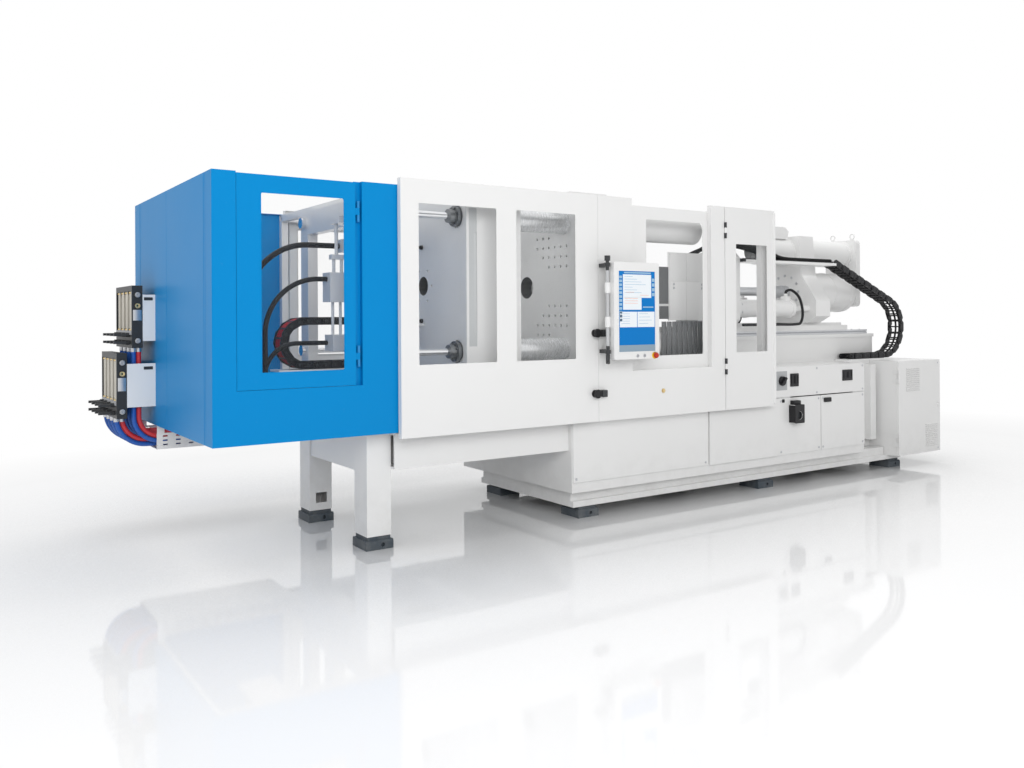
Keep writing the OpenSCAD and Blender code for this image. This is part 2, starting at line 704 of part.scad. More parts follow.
module tie_bars() color(chrome) placed() {
    root_r = tie_r - groove_depth;
    g0 = jaw_x[0] - 6 * groove_pitch;
    n = floor((jaw_x[1] - g0) / groove_pitch);
    grooves = [for (i = [0 : n - 1]) let (x = g0 + i * groove_pitch + 4)
        each [[x, tie_r], [x, root_r], [x + groove_pitch / 2 + 1, root_r], [x + groove_pitch / 2 + 1, tie_r]]];
    bore_x1 = tie_x0 + 950;
    for (y = tie_ys) for (z = tie_zs) turned_x(concat(
        [[tie_x0, tie_bore_r], [tie_x0, tie_r]], grooves,
        [[tie_x1 - 10, tie_r], [tie_x1, tie_r - 10], [tie_x1, 0], [bore_x1, 0], [bore_x1, tie_bore_r]]
    ), y, z);
}

module rod_glands() color(steel) placed() {
    for (y = tie_ys) for (z = tie_zs) {
        turned_x([
            [moving_x0 - gland_t, rod_d / 2 + run_gap], [moving_x0 - gland_t, rod_d / 2 + 22],
            [moving_x0 - 28, rod_d / 2 + 26], [moving_x0 - 28, gland_d / 2], [moving_x0, gland_d / 2],
            [moving_x0, rod_d / 2 + run_gap]
        ], y, z);
        bolt_ring([moving_x0 - 38, moving_x0 - 28], gland_d - 26, 8, 6, y, z, 22.5);
    }
}

module ejector_cylinder() color(dark) placed() {
    turned_x([
        [cavity_x[0], 25 + run_gap], [cavity_x[0], 95], [cavity_x[0] + 20, 95], [cavity_x[0] + 20, 60],
        [cavity_x[0] + 116, 60], [cavity_x[0] + 120, 56], [cavity_x[0] + 120, 25 + run_gap]
    ], axis_y, axis_z);
}

module ejector_plate() color(steel) placed() {
    e = [eject_plate_x, eject_plate_x + eject_plate_t];
    crosswise(e[0], eject_plate_t) soft_rect([axis_y - 180, axis_y + 180], [axis_z - 180, axis_z + 180], 30);
    rod_x([cavity_x[0] + 10, e[0]], 25, axis_y, axis_z);
    for (sy = [-1, 1]) for (sz = [-1, 1])
        rod_x([e[1], moving_x - 10], eject_rod_r, axis_y + sy * eject_rod_at, axis_z + sz * eject_rod_at);
}

// Half-nut jaws, drawn open; side is -1 on the operator's side of each tie bar
module lock_jaws(side) {
    root_r = tie_r - groove_depth + 2;
    n = floor((jaw_x[1] - jaw_x[0]) / groove_pitch);
    teeth = [for (i = [0 : n - 1]) let (x = jaw_x[0] + i * groove_pitch + 5)
        each [[x, tie_r + 0.4], [x, root_r], [x + groove_pitch / 2 - 1, root_r],
            [x + groove_pitch / 2 - 1, tie_r + 0.4]]];
    for (y = tie_ys) for (z = tie_zs) translate([0, side * jaw_open, 0]) difference() {
        block(jaw_x, side < 0 ? [y - jaw_reach, y] : [y, y + jaw_reach], [z - jaw_half, z + jaw_half]);
        turned_x(concat(
            [[jaw_x[0] - 1, 0], [jaw_x[0] - 1, tie_r + 0.4]], teeth,
            [[jaw_x[1] + 1, tie_r + 0.4], [jaw_x[1] + 1, 0]]
        ), y, z);
        block([jaw_x[0] - 1, jaw_x[1] + 1],
            side < 0 ? [y - jaw_half, y + 1] : [y - 1, y + jaw_half], [z - 60, z + 60]);
    }
}

module lock_jaws_near() color(steel) placed() lock_jaws(-1);

module lock_jaws_far() color(steel) placed() lock_jaws(1);

// Guards

module clamp_guard() color(blue) placed() {
    door_hole_x = [service_x0 - seam, service_groove_x1];
    door_hole_z = [service_z0 - seam, guard_z1 + 1];
    difference() {
        upright(0, sheet) flat_rect([0, blue_len], [guard_z0, guard_z1]);
        upright(-1, sheet + 2) flat_rect(door_hole_x, door_hole_z);
    }
    upright(guard_w - sheet, sheet) flat_rect([0, blue_len], [guard_z0, guard_z1]);
    difference() {
        block([0, sheet], [sheet, guard_w - sheet], [guard_z0, guard_z1]);
        for (y = [122, 988]) block([-1, 1.2], [y - 2, y + 2], [guard_z0 - 1, guard_z1 + 1]);
    }
    block([sheet, 35], [sheet, guard_w - sheet], [guard_z0, guard_z0 + sheet]);
    block([sheet, 35], [sheet, guard_w - sheet], [guard_z1 - sheet, guard_z1]);
    block([35, blue_len], [sheet, 35], [guard_z0, guard_z0 + sheet]);
    block([35, blue_len], [guard_w - 35, guard_w - sheet], [guard_z0, guard_z0 + sheet]);
    block([35, blue_len], [guard_w - 35, guard_w - sheet], [guard_z1 - sheet, guard_z1]);
    block([blue_len - sheet, blue_len], [sheet, 35], [guard_z0 + sheet, guard_z1]);
    block([blue_len - sheet, blue_len], [guard_w - 35, guard_w - sheet], [guard_z0 + sheet, top_z0 - 1]);
    // Reveal round the service door, closed at the back of the hinge groove
    block([service_x0 - seam - sheet, service_x0 - seam], [sheet, door_t + 4], [service_z0 - seam, guard_z1]);
    block([service_x0 - seam - sheet, service_groove_x1 + sheet], [sheet, door_t + 4],
        [service_z0 - seam - sheet, service_z0 - seam]);
    block([service_groove_x1, service_groove_x1 + sheet], [sheet, door_t + 4], [service_z0 - seam, guard_z1]);
    block([service_x1 + 2, service_groove_x1], [door_t + 1, door_t + 4], [service_z0 - seam, guard_z1]);
}

module guard_frame() color(white) placed() {
    near = [post_y, post_y1];
    far = [far_post_y, far_post_y + post_w];
    for (y = [near, far]) {
        tube_along_z([frame_x0, frame_x0 + post_w], y, [guard_z0 + post_w + sheet, top_z1]);
        tube_along_z([blue_post_x, blue_post_x + post_w], y, [guard_z0 + post_w + sheet, top_z0]);
        tube_along_x([frame_x0, blue_post_x + post_w], y, [guard_z0 + sheet, guard_z0 + sheet + post_w]);
        tube_along_x([blue_post_x, side_x1 - 6], y, [top_z0, top_z1]);
    }
    tube_along_x([service_x0 + 200, blue_post_x], near, [top_z0, top_z1]);
    tube_along_y([blue_post_x, blue_post_x + post_w], [near[1], far[0]], [guard_z0, guard_z0 + post_w]);
    tube_along_y([frame_x0, frame_x0 + post_w], [near[1], far[0]], [guard_z0 + sheet, guard_z0 + sheet + post_w]);
    tube_along_y([3850, 3850 + post_w], [near[1], far[0]], [top_z0, top_z1]);
    tube_along_y([blue_post_x, blue_post_x + post_w], [near[1], far[0]], [top_z0, top_z1]);
    for (x = post_xs) {
        tube_along_z([x, x + post_w], near, [bed_top, top_z0]);
        tube_along_z([x, x + post_w], far, [bed_top + post_w, top_z0]);
        tube_along_y([x, x + post_w], [bed_y1, guard_w - sheet], [bed_top - 60, bed_top - 10]);
        block([x, x + post_w], far, [bed_top - 10, bed_top + post_w]);
    }
    tube_along_x([leg_x0 + leg_w, bed_x0], [post_y, 110], [sill_z0, sill_z0 + 44]);
    tube_along_x([leg_x0 + leg_w, bed_x0], [far_post_y - 24, far_post_y + post_w], [sill_z0, sill_z0 + 44]);
    for (x = [1300, 2200])
        block([x, x + post_w], [leg_y1 + 228, far_post_y - 24], [girder_top - 50, girder_top]);
    for (x = [1300, 2200])
        block([x, x + post_w], [far_post_y - 24, far_post_y + post_w], [girder_top - 50, girder_top]);
}

module gate_channels(x, y, web_y) {
    for (z = roller_zs) {
        for (s = [-1, 1]) {
            low = s < 0 ? z - channel_half - 4 : z + channel_half;
            block(x, [web_y[0], y[1]], [low, low + 4]);
        }
        block(x, web_y, [z - channel_half - 4, z + channel_half + 4]);
    }
}

module gate_shell() {
    folded_door([gate_x0, gate_x1], [white_z0, white_z1], gate_y0, gate_t, gate_windows, gate_window_z);
    inner = [gate_x0 + sheet, gate_x1 - sheet];
    gate_channels(inner, [gate_y0 + 6, gate_y1 - 3], [gate_y0 + sheet, gate_y0 + 6]);
    for (x = [gate_x0 + 40, gate_windows[0][1] + 45, gate_windows[1][1] + 60])
        block([x, x + 60], [gate_y0 + sheet, gate_y1 - 12],
            [roller_zs[0] + channel_half + 4, roller_zs[1] - channel_half - 4]);
}

module mirrored_far() {
    translate([0, guard_w, 0]) mirror([0, 1, 0]) children();
}

module gate_frame() color(white) placed() gate_shell();

module rear_gate_frame() color(white) placed() mirrored_far() gate_shell();

module gate_glass() {
    for (w = gate_windows) pane(w, gate_window_z, gate_y0 + sheet);
}

module gate_panes() color([0.8, 0.85, 0.88, 0.4]) placed() gate_glass();

module rear_gate_panes() color([0.8, 0.85, 0.88, 0.4]) placed() mirrored_far() gate_glass();

module gate_knobs() color(dark) placed() {
    for (z = [876, 1289]) {
        turned_x_knob(gate_x1 - 35, gate_y0, z);
    }
}

module turned_x_knob(x, y, z) {
    translate([x, y, z]) rotate([90, 0, 0]) rotate_extrude()
        polygon([[0, 0], [26, 0], [26, 10], [14, 14], [14, 22], [30, 28], [30, 40], [24, 46], [0, 46]]);
}

module fixed_guards() color(white) placed() {
    right = side_x0 - 6;
    inner_y = gate_y1 + 2;
    difference() {
        union() {
            upright(gate_y0, sheet) flat_rect([fixed_guard_x0, right], [white_z0, white_z1]);
            block([fixed_guard_x0, fixed_guard_x0 + sheet], [gate_y0 + sheet, inner_y], [white_z0, white_z1]);
            block([right - sheet, right], [gate_y0 + sheet, inner_y - 4], [white_z0, white_z1]);
            block([fixed_guard_x0, panel_xs[1][0] - 8], [gate_y0 + sheet, bed_y0 - front_t],
                [white_z0, white_z0 + sheet]);
            block([fixed_guard_x0, right], [gate_y0 + sheet, inner_y], [white_z0, white_z0 + sheet]);
            for (z = [1000, 1560, 2060])
                block([post_xs[0] + 5, post_xs[0] + 45], [gate_y0 + sheet, post_y], [z, z + 6]);
            block([nozzle_x1 + 12, right - 10], [gate_y0 + sheet, post_y + 40], [top_z1 + 3, top_z1 + 6]);
            block([nozzle_x1 + 12, right - 10], [post_y + 5, post_y + 40], [top_z1, top_z1 + 3]);
        }
        upright(gate_y0 - 1, sheet + 2) flat_rect([nozzle_x0, nozzle_x1], [nozzle_z0, white_z1 + 1]);
    }
    block([nozzle_x0 - sheet, nozzle_x0], [gate_y0 + sheet, gate_y1 - 1], [nozzle_z0, white_z1]);
    block([nozzle_x1, nozzle_x1 + sheet], [gate_y0 + sheet, gate_y1 - 1], [nozzle_z0, white_z1]);
    block([nozzle_x0 - sheet, nozzle_x1 + sheet], [gate_y0 + sheet, gate_y1 - slide_gap],
        [nozzle_z0 - sheet, nozzle_z0]);
    // Track under the nozzle guard
    ty = nozzle_guard_y;
    block([nozzle_x0 - 10, side_x1 - 8], [ty[0] - slide_gap - 4, ty[0] - slide_gap],
        [nozzle_z0 - 34, nozzle_z0 - sheet]);
    block([nozzle_x0 - 10, side_x1 - 8], [ty[1] + slide_gap, post_y], [nozzle_z0 - 34, nozzle_z0 + 6]);
    block([nozzle_x0 - 10, side_x1 - 8], [ty[0] - slide_gap - 4, post_y], [nozzle_z0 - 38, nozzle_z0 - 34]);
    block([nozzle_x0 - 10, side_x1 - 8], [ty[1] + slide_gap, post_y], [top_z0 + 6, top_z0 + 36]);
    // End frame beyond the side door
    block([side_x1 - 6, side_x1 - 6 + sheet], [gate_y1 + 30, post_y1], [bed_top, white_z1]);
    difference() {
        block([fixed_guard_x0, side_x1], [guard_w - sheet, guard_w + proud - 10], [white_z0 + 240, white_z1]);
        block([fixed_guard_x0 + sheet, side_x1 - sheet], [guard_w - sheet - 1, guard_w + proud - 10 - sheet],
            [white_z0 + 240 + sheet, white_z1 - sheet]);
        for (w = [nozzle_x0, nozzle_x1 + 80])
            block([w - 2, w + 2], [guard_w + proud - 12, guard_w + proud], [white_z0 + 239, white_z1 + 1]);
    }
}

module nozzle_guard() color(white) placed() {
    x = [nozzle_x0 - 8, nozzle_x1 + 8];
    z = [nozzle_z0 - 34 + slide_gap, top_z1];
    y = nozzle_guard_y;
    difference() {
        union() {
            upright(y[0], sheet) flat_rect(x, z);
            upright(y[0], y[1] - y[0]) difference() {
                flat_rect(x, z);
                flat_rect([x[0] + sheet, x[1] - sheet], [z[0] + 40, z[1] - sheet]);
            }
        }
        upright(y[0] - 1, sheet + 2) soft_rect(nozzle_window, nozzle_window_z, window_r);
    }
}

module nozzle_guard_pane() color([0.8, 0.85, 0.88, 0.4]) placed()
    pane(nozzle_window, nozzle_window_z, nozzle_guard_y[0] + sheet);

// Pin hinge of a door: two fixed knuckles and the pin, with the door's knuckle between them
knuckle_r = 9;
pin_r = 5;
knuckle_h = 40;
side_pin = [side_x0 - 3, gate_y0 - 9];
cab_pin = [cab_x0 - 3, -15 - 9];
service_pin = [service_x1 + 22, 10];
side_hinge_zs = [1017, 2053];
cab_hinge_zs = [260, 840];
service_hinge_zs = [1180, 2020];

module fixed_knuckles(pin, z, leaf) {
    for (dz = [-knuckle_h - 0.5, knuckle_h + 0.5])
        rod_z([z + dz - knuckle_h / 2, z + dz + knuckle_h / 2], knuckle_r, pin[0], pin[1]);
    rod_z([z - 1.5 * knuckle_h, z + 1.5 * knuckle_h], pin_r, pin[0], pin[1]);
    for (dz = [-knuckle_h - 0.5, knuckle_h + 0.5])
        block(leaf[0], leaf[1], [z + dz - knuckle_h / 2, z + dz + knuckle_h / 2]);
}

module door_knuckle(pin, z, leaf) {
    difference() {
        union() {
            rod_z([z - knuckle_h / 2, z + knuckle_h / 2], knuckle_r, pin[0], pin[1]);
            block(leaf[0], leaf[1], [z - knuckle_h / 2, z + knuckle_h / 2]);
        }
        rod_z([z - knuckle_h, z + knuckle_h], pin_r + run_gap, pin[0], pin[1]);
    }
}

module guard_hardware() color(dark) placed() {
    for (z = side_hinge_zs) fixed_knuckles(side_pin, z, [[side_pin[0] - 34, side_pin[0]], [gate_y0 - 4, gate_y0]]);
    for (z = cab_hinge_zs) fixed_knuckles(cab_pin, z, [[cab_pin[0] - 3, cab_pin[0] + 3], [cab_pin[1], 40]]);
    for (z = service_hinge_zs)
        fixed_knuckles(service_pin, z, [[service_pin[0], service_pin[0] + 6], [service_pin[1], door_t + 1]]);
    for (z = [876, 1289]) upright(gate_y0 - 34, 34) soft_rect([gate_x1 + 8, gate_x1 + 52], [z - 24, z + 24], 6);
    for (x = roller_xs) for (z = roller_zs) {
        gate_roller(x, z, post_y);
        mirrored_far() gate_roller(x, z, sheet);
    }
}

module gate_roller(x, z, end_y) {
    rod_y([gate_y0 + 12, gate_y0 + 32], roller_r, x, z);
    rod_y([gate_y0 + 32, end_y], 8, x, z);
}

module side_door() color(white) placed() {
    x = [side_x0, side_x1];
    folded_door(x, [white_z0, white_z1], gate_y0, door_t, [side_window], side_window_z);
    for (z = side_hinge_zs)
        door_knuckle(side_pin, z, [[side_pin[0], side_x0 + 30], [gate_y0 - 4, gate_y0]]);
    crosswise_grip();
}

module crosswise_grip() {
    translate([0, 0, white_z0 + 20]) linear_extrude(white_z1 - white_z0 - 40) polygon([
        [side_x1 - 20, gate_y0], [side_x1 - 14, gate_y0 - 12], [side_x1 - 4, gate_y0 - 14],
        [side_x1, gate_y0 - 10], [side_x1, gate_y0]
    ]);
}

module side_door_pane() color([0.8, 0.85, 0.88, 0.4]) placed()
    pane(side_window, side_window_z, gate_y0 + sheet);

module service_door() color(blue) placed() {
    folded_door([service_x0, service_x1], [service_z0, service_z1], 0, door_t, [service_window],
        service_window_z);
    for (z = service_hinge_zs)
        door_knuckle(service_pin, z, [[service_x1 - 2, service_pin[0]], [service_pin[1] - 6, service_pin[1]]]);
}

module service_door_pane() color([0.8, 0.85, 0.88, 0.4]) placed()
    pane(service_window, service_window_z, sheet);

// Operator panel

module panel_post() color(dark) placed() {
    rod_z([pivot_z[0] - 30, pivot_z[1] + 26], pivot_d / 2, pivot_x, pivot_y);
    rod_z([pivot_z[1] + 26, pivot_z[1] + 60], 20, pivot_x, pivot_y);
    for (z = [pivot_z[0] - 24, pivot_z[1] - 14]) {
        translate([0, 0, z]) linear_extrude(26) difference() {
            union() {
                translate([pivot_x, pivot_y]) circle(pivot_d / 2 + 8);
                polygon([
                    [pivot_x, pivot_y + 5], [pivot_x, pivot_y + 20], [fixed_guard_x0 + 6, gate_y0 - 12],
                    [fixed_guard_x0 + 6, gate_y0], [fixed_guard_x0 + 56, gate_y0],
                    [fixed_guard_x0 + 56, gate_y0 - 12], [pivot_x + 30, pivot_y + 24],
                    [pivot_x + 18, pivot_y + 10]
                ]);
            }
            translate([pivot_x, pivot_y]) circle(pivot_d / 2);
        }
    }
    rod_z([pivot_z[0] - 92, pivot_z[0] - 30], 14, pivot_x, pivot_y);
    translate([pivot_x, pivot_y, pivot_z[0] - 82]) rotate([0, 95, -125]) cylinder(h = 62, r = 5);
}

module panel_housing() color(white) placed() {
    x = [panel_x0, panel_x0 + panel_w];
    z = [panel_z0, panel_z1];
    difference() {
        union() {
            upright(panel_y0, panel_t - 22) soft_rect(x, z, 14);
            upright(panel_y1 - 22, 22) soft_rect([x[0] + 22, x[1] - 22], [z[0] + 22, z[1] - 22], 14);
            for (s = [[1330, 1400], [1560, 1630]]) {
                rod_z(s, pivot_d / 2 + 7, pivot_x, pivot_y);
                block([pivot_x, panel_x0 + 10], [pivot_y - 6, pivot_y + 6], s);
            }
        }
        rod_z([panel_z0, panel_z1], pivot_d / 2 + run_gap, pivot_x, pivot_y);
        upright(panel_y0 - 1, 6) flat_rect([x[0] + 40, x[1] - 38], [z[0] + 50, z[1] - 58]);
        rod_y([panel_y0 - 1, panel_y0 + 40], 8 + slide_gap, stop_x, button_z);
        for (b = button_xs) rod_y([panel_y0 - 1, panel_y0 + 30], button_r + slide_gap, b, button_z);
    }
}

module panel_screen() color([0.1, 0.35, 0.6]) placed()
    upright(panel_y0, 5) flat_rect([panel_x0 + 40, panel_x0 + panel_w - 38], [panel_z0 + 50, panel_z1 - 58]);

module stop_button() color([0.75, 0.1, 0.08]) placed() {
    translate([stop_x, panel_y0 - 9, button_z]) rotate([90, 0, 0]) rotate_extrude()
        polygon([[0, 0], [stop_r - 2, 0], [stop_r, 3], [stop_r, 10], [stop_r - 5, 18], [0, 18]]);
    rod_y([panel_y0 - 9, panel_y0 + 30], 8, stop_x, button_z);
}

module push_button(x) {
    rod_y([panel_y0 - 4, panel_y0 + 22], button_r, x, button_z);
}

module reset_button() color(grey) placed() push_button(button_xs[0]);

module start_button() color(grey) placed() push_button(button_xs[1]);

// Injection unit

module injection_bed() color(white) placed() {
    difference() {
        block([rail_x0, rail_x1], rail_bed_y, [bed_top, rail_bed_top]);
        block([rail_x0 - 1, rail_x1 - 20], [rail_bed_y[0] + 90, rail_bed_y[1] - 90],
            [bed_top + 40, rail_bed_top + 1]);
    }
    block([rail_x0, rail_x1 + 4], [rail_bed_y[0] - 14, rail_bed_y[0]], [rail_bed_top - 30, rail_bed_top]);
    block([rail_x0, rail_x1 + 4], [rail_bed_y[1], rail_bed_y[1] + 14], [rail_bed_top - 30, rail_bed_top]);
    block([inj_chain_end - 40, inj_chain_far - 330], [inj_chain_y - 76, inj_chain_y + 76],
        [bed_top, inj_chain_low - link_h / 2 - slide_gap]);
}

module bed_rails() color(steel) placed() {
    for (y = rail_ys) crosswise(rail_x0 + 20, rail_x1 - rail_x0 - 60) polygon([
        [y - 22, rail_bed_top], [y + 22, rail_bed_top], [y + 22, rail_bed_top + 14],
        [y + 15, rail_bed_top + 20], [y + 22, rail_bed_top + 27], [y + 22, rail_bed_top + rail_h],
        [y - 22, rail_bed_top + rail_h], [y - 22, rail_bed_top + 27], [y - 15, rail_bed_top + 20],
        [y - 22, rail_bed_top + 14]
    ]);
}

module pump_unit() color(blue) placed() {
    x0 = bay_x[2][0] + 60;
    z0 = front_z0 + 20;
    y = 650;
    z = z0 + 210;
    turned_x([[x0, 0], [x0, 130], [x0 + 30, 140], [x0 + 30, 0]], y, z);
    for (i = [0 : 7]) turned_x(
        [[x0 + 30 + i * 40, 0], [x0 + 30 + i * 40, 140], [x0 + 50 + i * 40, 140],
            [x0 + 50 + i * 40, 130], [x0 + 70 + i * 40, 130], [x0 + 70 + i * 40, 0]], y, z);
    turned_x([[x0 + 350, 0], [x0 + 350, 140], [x0 + 370, 140], [x0 + 450, 100], [x0 + 450, 0]], y, z);
    turned_x([[x0 + 450, 0], [x0 + 450, 85], [x0 + 600, 85], [x0 + 610, 75], [x0 + 610, 0]], y, z);
    for (x = [x0 + 60, x0 + 300]) block([x, x + 40], [y - 120, y + 120], [z0, z - 70]);
}

module carriage_frame() color(white) placed() {
    // Base plate on the rails, tied to the front plate
    difference() {
        block(carriage_x, [axis_y - 230, axis_y + 230], [carriage_z0, carriage_z1]);
        block([carriage_x[0] + 500, carriage_x[1] - 700], [axis_y - 120, axis_y + 120],
            [carriage_z0 - 1, carriage_z1 + 1]);
    }
    difference() {
        crosswise(front_plate_x[0], front_plate_x[1] - front_plate_x[0])
            cut_rect([axis_y - 335, axis_y + 335], [carriage_z1, axis_z + 330], 60);
        rod_x([front_plate_x[0] - 1, front_plate_x[1] + 1], barrel_d / 2, axis_y, axis_z);
    }
    for (s = [-1, 1])
        block([front_plate_x[1], carriage_x[1] - 40], [axis_y + s * 170 - 22, axis_y + s * 170 + 22],
            [carriage_z1, carriage_z1 + 24]);
    // Cable tray beside the unit, held by the front plate
    tray_x = [front_plate_x[1], inj_chain_start[0] - 6];
    lip = 4;
    half = link_w / 2 + slide_gap + lip;
    block(tray_x, [inj_chain_y - half, inj_chain_y + half], [tray_top - 5, tray_top]);
    block(tray_x, [inj_chain_y - half, inj_chain_y - half + lip], [tray_top, tray_top + 18]);
    block(tray_x, [inj_chain_y + half - lip, inj_chain_y + half], [tray_top, tray_top + 18]);
}

module barrel() color(grey) placed() {
    r = barrel_d / 2;
    tip = nozzle_tip;
    difference() {
        union() {
            turned_x([
                [tip, 4], [tip, 10], [tip + 22, 30], [tip + 180, 34], [tip + 190, 60], [tip + 210, 86],
                [barrel_x[0], 86], [barrel_x[0] + 20, r], [front_plate_x[1], r], [front_plate_x[1], screw_d / 2],
                [tip + 240, screw_d / 2], [tip + 200, 4]
            ], axis_y, axis_z);
            for (i = [0 : 6]) turned_x([
                [barrel_x[0] + 60 + i * 136, r - 1], [barrel_x[0] + 60 + i * 136, r + 9],
                [barrel_x[0] + 176 + i * 136, r + 9], [barrel_x[0] + 176 + i * 136, r - 1]
            ], axis_y, axis_z);
        }
        rod_z([axis_z, axis_z + barrel_d], 30, (feed_x[0] + feed_x[1]) / 2, axis_y);
    }
}

module barrel_cover() color(grey) placed() {
    x = [3150, 4120];
    half = 165;
    difference() {
        crosswise(x[0], x[1] - x[0]) difference() {
            cut_rect([axis_y - half, axis_y + half], [axis_z - half, axis_z + half], 50);
            cut_rect([axis_y - half + sheet, axis_y + half - sheet],
                [axis_z - half + sheet, axis_z + half - sheet], 49);
        }
            for (i = [0 : 8]) block([x[0] + 120 + i * 88, x[0] + 150 + i * 88], [axis_y - 200, axis_y + 200],
            [axis_z - 60, axis_z + 60]);
    }
    for (px = [x[0], x[1] - sheet]) crosswise(px, sheet) difference() {
        cut_rect([axis_y - half + sheet, axis_y + half - sheet],
            [axis_z - half + sheet, axis_z + half - sheet], 49);
        translate([axis_y, axis_z]) circle(barrel_d / 2 + slide_gap);
    }
}

module feed_block() color(steel) placed() {
    fx = (feed_x[0] + feed_x[1]) / 2;
    difference() {
        union() {
            block(feed_x, [axis_y - 130, axis_y + 130], [axis_z - 130, axis_z + 140]);
            rod_z([axis_z + 140, axis_z + 240], 62, fx, axis_y);
            rod_z([axis_z + 240, axis_z + 260], 100, fx, axis_y);
        }
        rod_x([feed_x[0] - 1, feed_x[1] + 1], barrel_d / 2 + run_gap, axis_y, axis_z);
        rod_z([axis_z, axis_z + 261], 30, fx, axis_y);
        for (i = [0 : 3])
            rod_z([axis_z + 239, axis_z + 261], 7, fx + 80 * cos(45 + i * 90), axis_y + 80 * sin(45 + i * 90));
    }
    for (s = [-1, 1]) block([feed_x[0] + 20, feed_x[1] - 20], [axis_y + s * 100 - 30, axis_y + s * 100 + 30],
        [carriage_z1, axis_z - 130]);
}

module hydraulic_cylinders() color(white) placed() {
    // Injection cylinders beside the axis, drawn as barrels with flanges and end caps
    for (y = inj_cyl_ys) difference() {
        turned_x([
            [cyl_x[0], 0], [cyl_x[0], inj_cyl_d / 2 + 12], [cyl_x[0] + 30, inj_cyl_d / 2 + 12],
            [cyl_x[0] + 34, inj_cyl_d / 2], [cyl_x[1] - 34, inj_cyl_d / 2],
            [cyl_x[1] - 30, inj_cyl_d / 2 + 8], [cyl_x[1], inj_cyl_d / 2 + 8], [cyl_x[1], 0]
        ], y, inj_cyl_z);
        rod_x([cyl_x[0] + 300, cyl_x[1] + 1], cyl_rod_r + run_gap, y, inj_cyl_z);
    }
    // Cylinders that press the nozzle against the mould
    for (y = nozzle_cyl_ys) difference() {
        turned_x([
            [3220, 0], [3220, 52], [3250, 52], [3254, 45], [front_plate_x[0] - 34, 45],
            [front_plate_x[0] - 30, 52], [front_plate_x[0], 52], [front_plate_x[0], 0]
        ], y, nozzle_cyl_z);
        rod_x([3219, 4100], guide_rod_r + run_gap, y, nozzle_cyl_z);
    }
}

module carriage_hoses() color([0.07, 0.07, 0.08]) placed() {
    for (i = [0 : 2]) rod_x([front_plate_x[1] + slide_gap, inj_chain_start[0] - link_h / 2 - slide_gap], 15,
        inj_chain_y - 36 + i * 36, tray_top + 15 + slide_gap);
}

module thrust_block() color(white) placed() {
    foot_z = carriage_z1 + 24 + slide_gap;
    difference() {
        union() {
            crosswise(thrust_x[0], thrust_x[1] - thrust_x[0]) polygon([
                [axis_y - 235, foot_z], [axis_y + 235, foot_z], [axis_y + 345, inj_cyl_z - 70],
                [axis_y + 345, inj_cyl_z + 70], [axis_y + 190, axis_z + 150], [axis_y + 160, motor_z + 140],
                [axis_y - 160, motor_z + 140], [axis_y - 190, axis_z + 150],
                [axis_y - 345, inj_cyl_z + 70], [axis_y - 345, inj_cyl_z - 70]
            ]);
            turned_x([
                [thrust_x[1] - 1, 0], [thrust_x[1] - 1, drum_d / 2 + 6], [thrust_x[1] + 40, drum_d / 2 + 6],
                [thrust_x[1] + 46, drum_d / 2], [drum_x1 - 20, drum_d / 2], [drum_x1, drum_d / 2 - 20],
                [drum_x1, 0]
            ], axis_y, axis_z);
        }
        rod_x([thrust_x[0] - 1, thrust_x[1] + 50], 60 + run_gap, axis_y, axis_z);
        rod_x([thrust_x[0] - 1, thrust_x[1] + 1], motor_d / 2 - 30, axis_y, motor_z);
    }
    for (y = inj_cyl_ys) rod_x([cyl_x[0] + 520, thrust_x[0]], cyl_rod_r, y, inj_cyl_z);
}

module screw_motor() color(white) placed() {
    x = [thrust_x[1], drum_x1];
    turned_x([
        [x[0], 0], [x[0], motor_d / 2 + 8], [x[0] + 22, motor_d / 2 + 8], [x[0] + 24, motor_d / 2],
        [x[1] - 24, motor_d / 2], [x[1] - 22, motor_d / 2 + 8], [x[1], motor_d / 2 + 8], [x[1], 0]
    ], axis_y, motor_z);
    // Front half of the motor ahead of the thrust block, with its terminal box
    turned_x([
        [thrust_x[0] - 430, 0], [thrust_x[0] - 430, motor_d / 2 - 20], [thrust_x[0] - 410, motor_d / 2],
        [thrust_x[0], motor_d / 2], [thrust_x[0], 0]
    ], axis_y, motor_z);
    bz = motor_z + motor_d / 2;
    translate([0, axis_y + 80, 0]) rotate([90, 0, 0]) linear_extrude(160) polygon([
        [thrust_x[0] - 300, bz - 12], [thrust_x[0] - 60, bz - 12], [thrust_x[0] - 40, bz + 60],
        [thrust_x[0] - 90, bz + 96], [thrust_x[0] - 270, bz + 96], [thrust_x[0] - 320, bz + 60]
    ]);
}

module gear_case() color(white) placed() {
    difference() {
        crosswise(drum_x1, gear_x1 - drum_x1)
            soft_rect([axis_y - 172, axis_y + 172], [axis_z - 135, motor_z + 140], 40);
        crosswise(gear_x1 - 8, 20)
            soft_rect([axis_y - 120, axis_y + 120], [axis_z - 80, motor_z + 80], 30);
    }
    for (y = [axis_y - 110, axis_y + 110]) {
        rod_z([motor_z + 140, motor_z + 156], 16, (drum_x1 + gear_x1) / 2, y);
        translate([(drum_x1 + gear_x1) / 2, y, motor_z + 176]) rotate([0, 90, 0])
            rotate_extrude() translate([24, 0]) circle(6);
    }
}

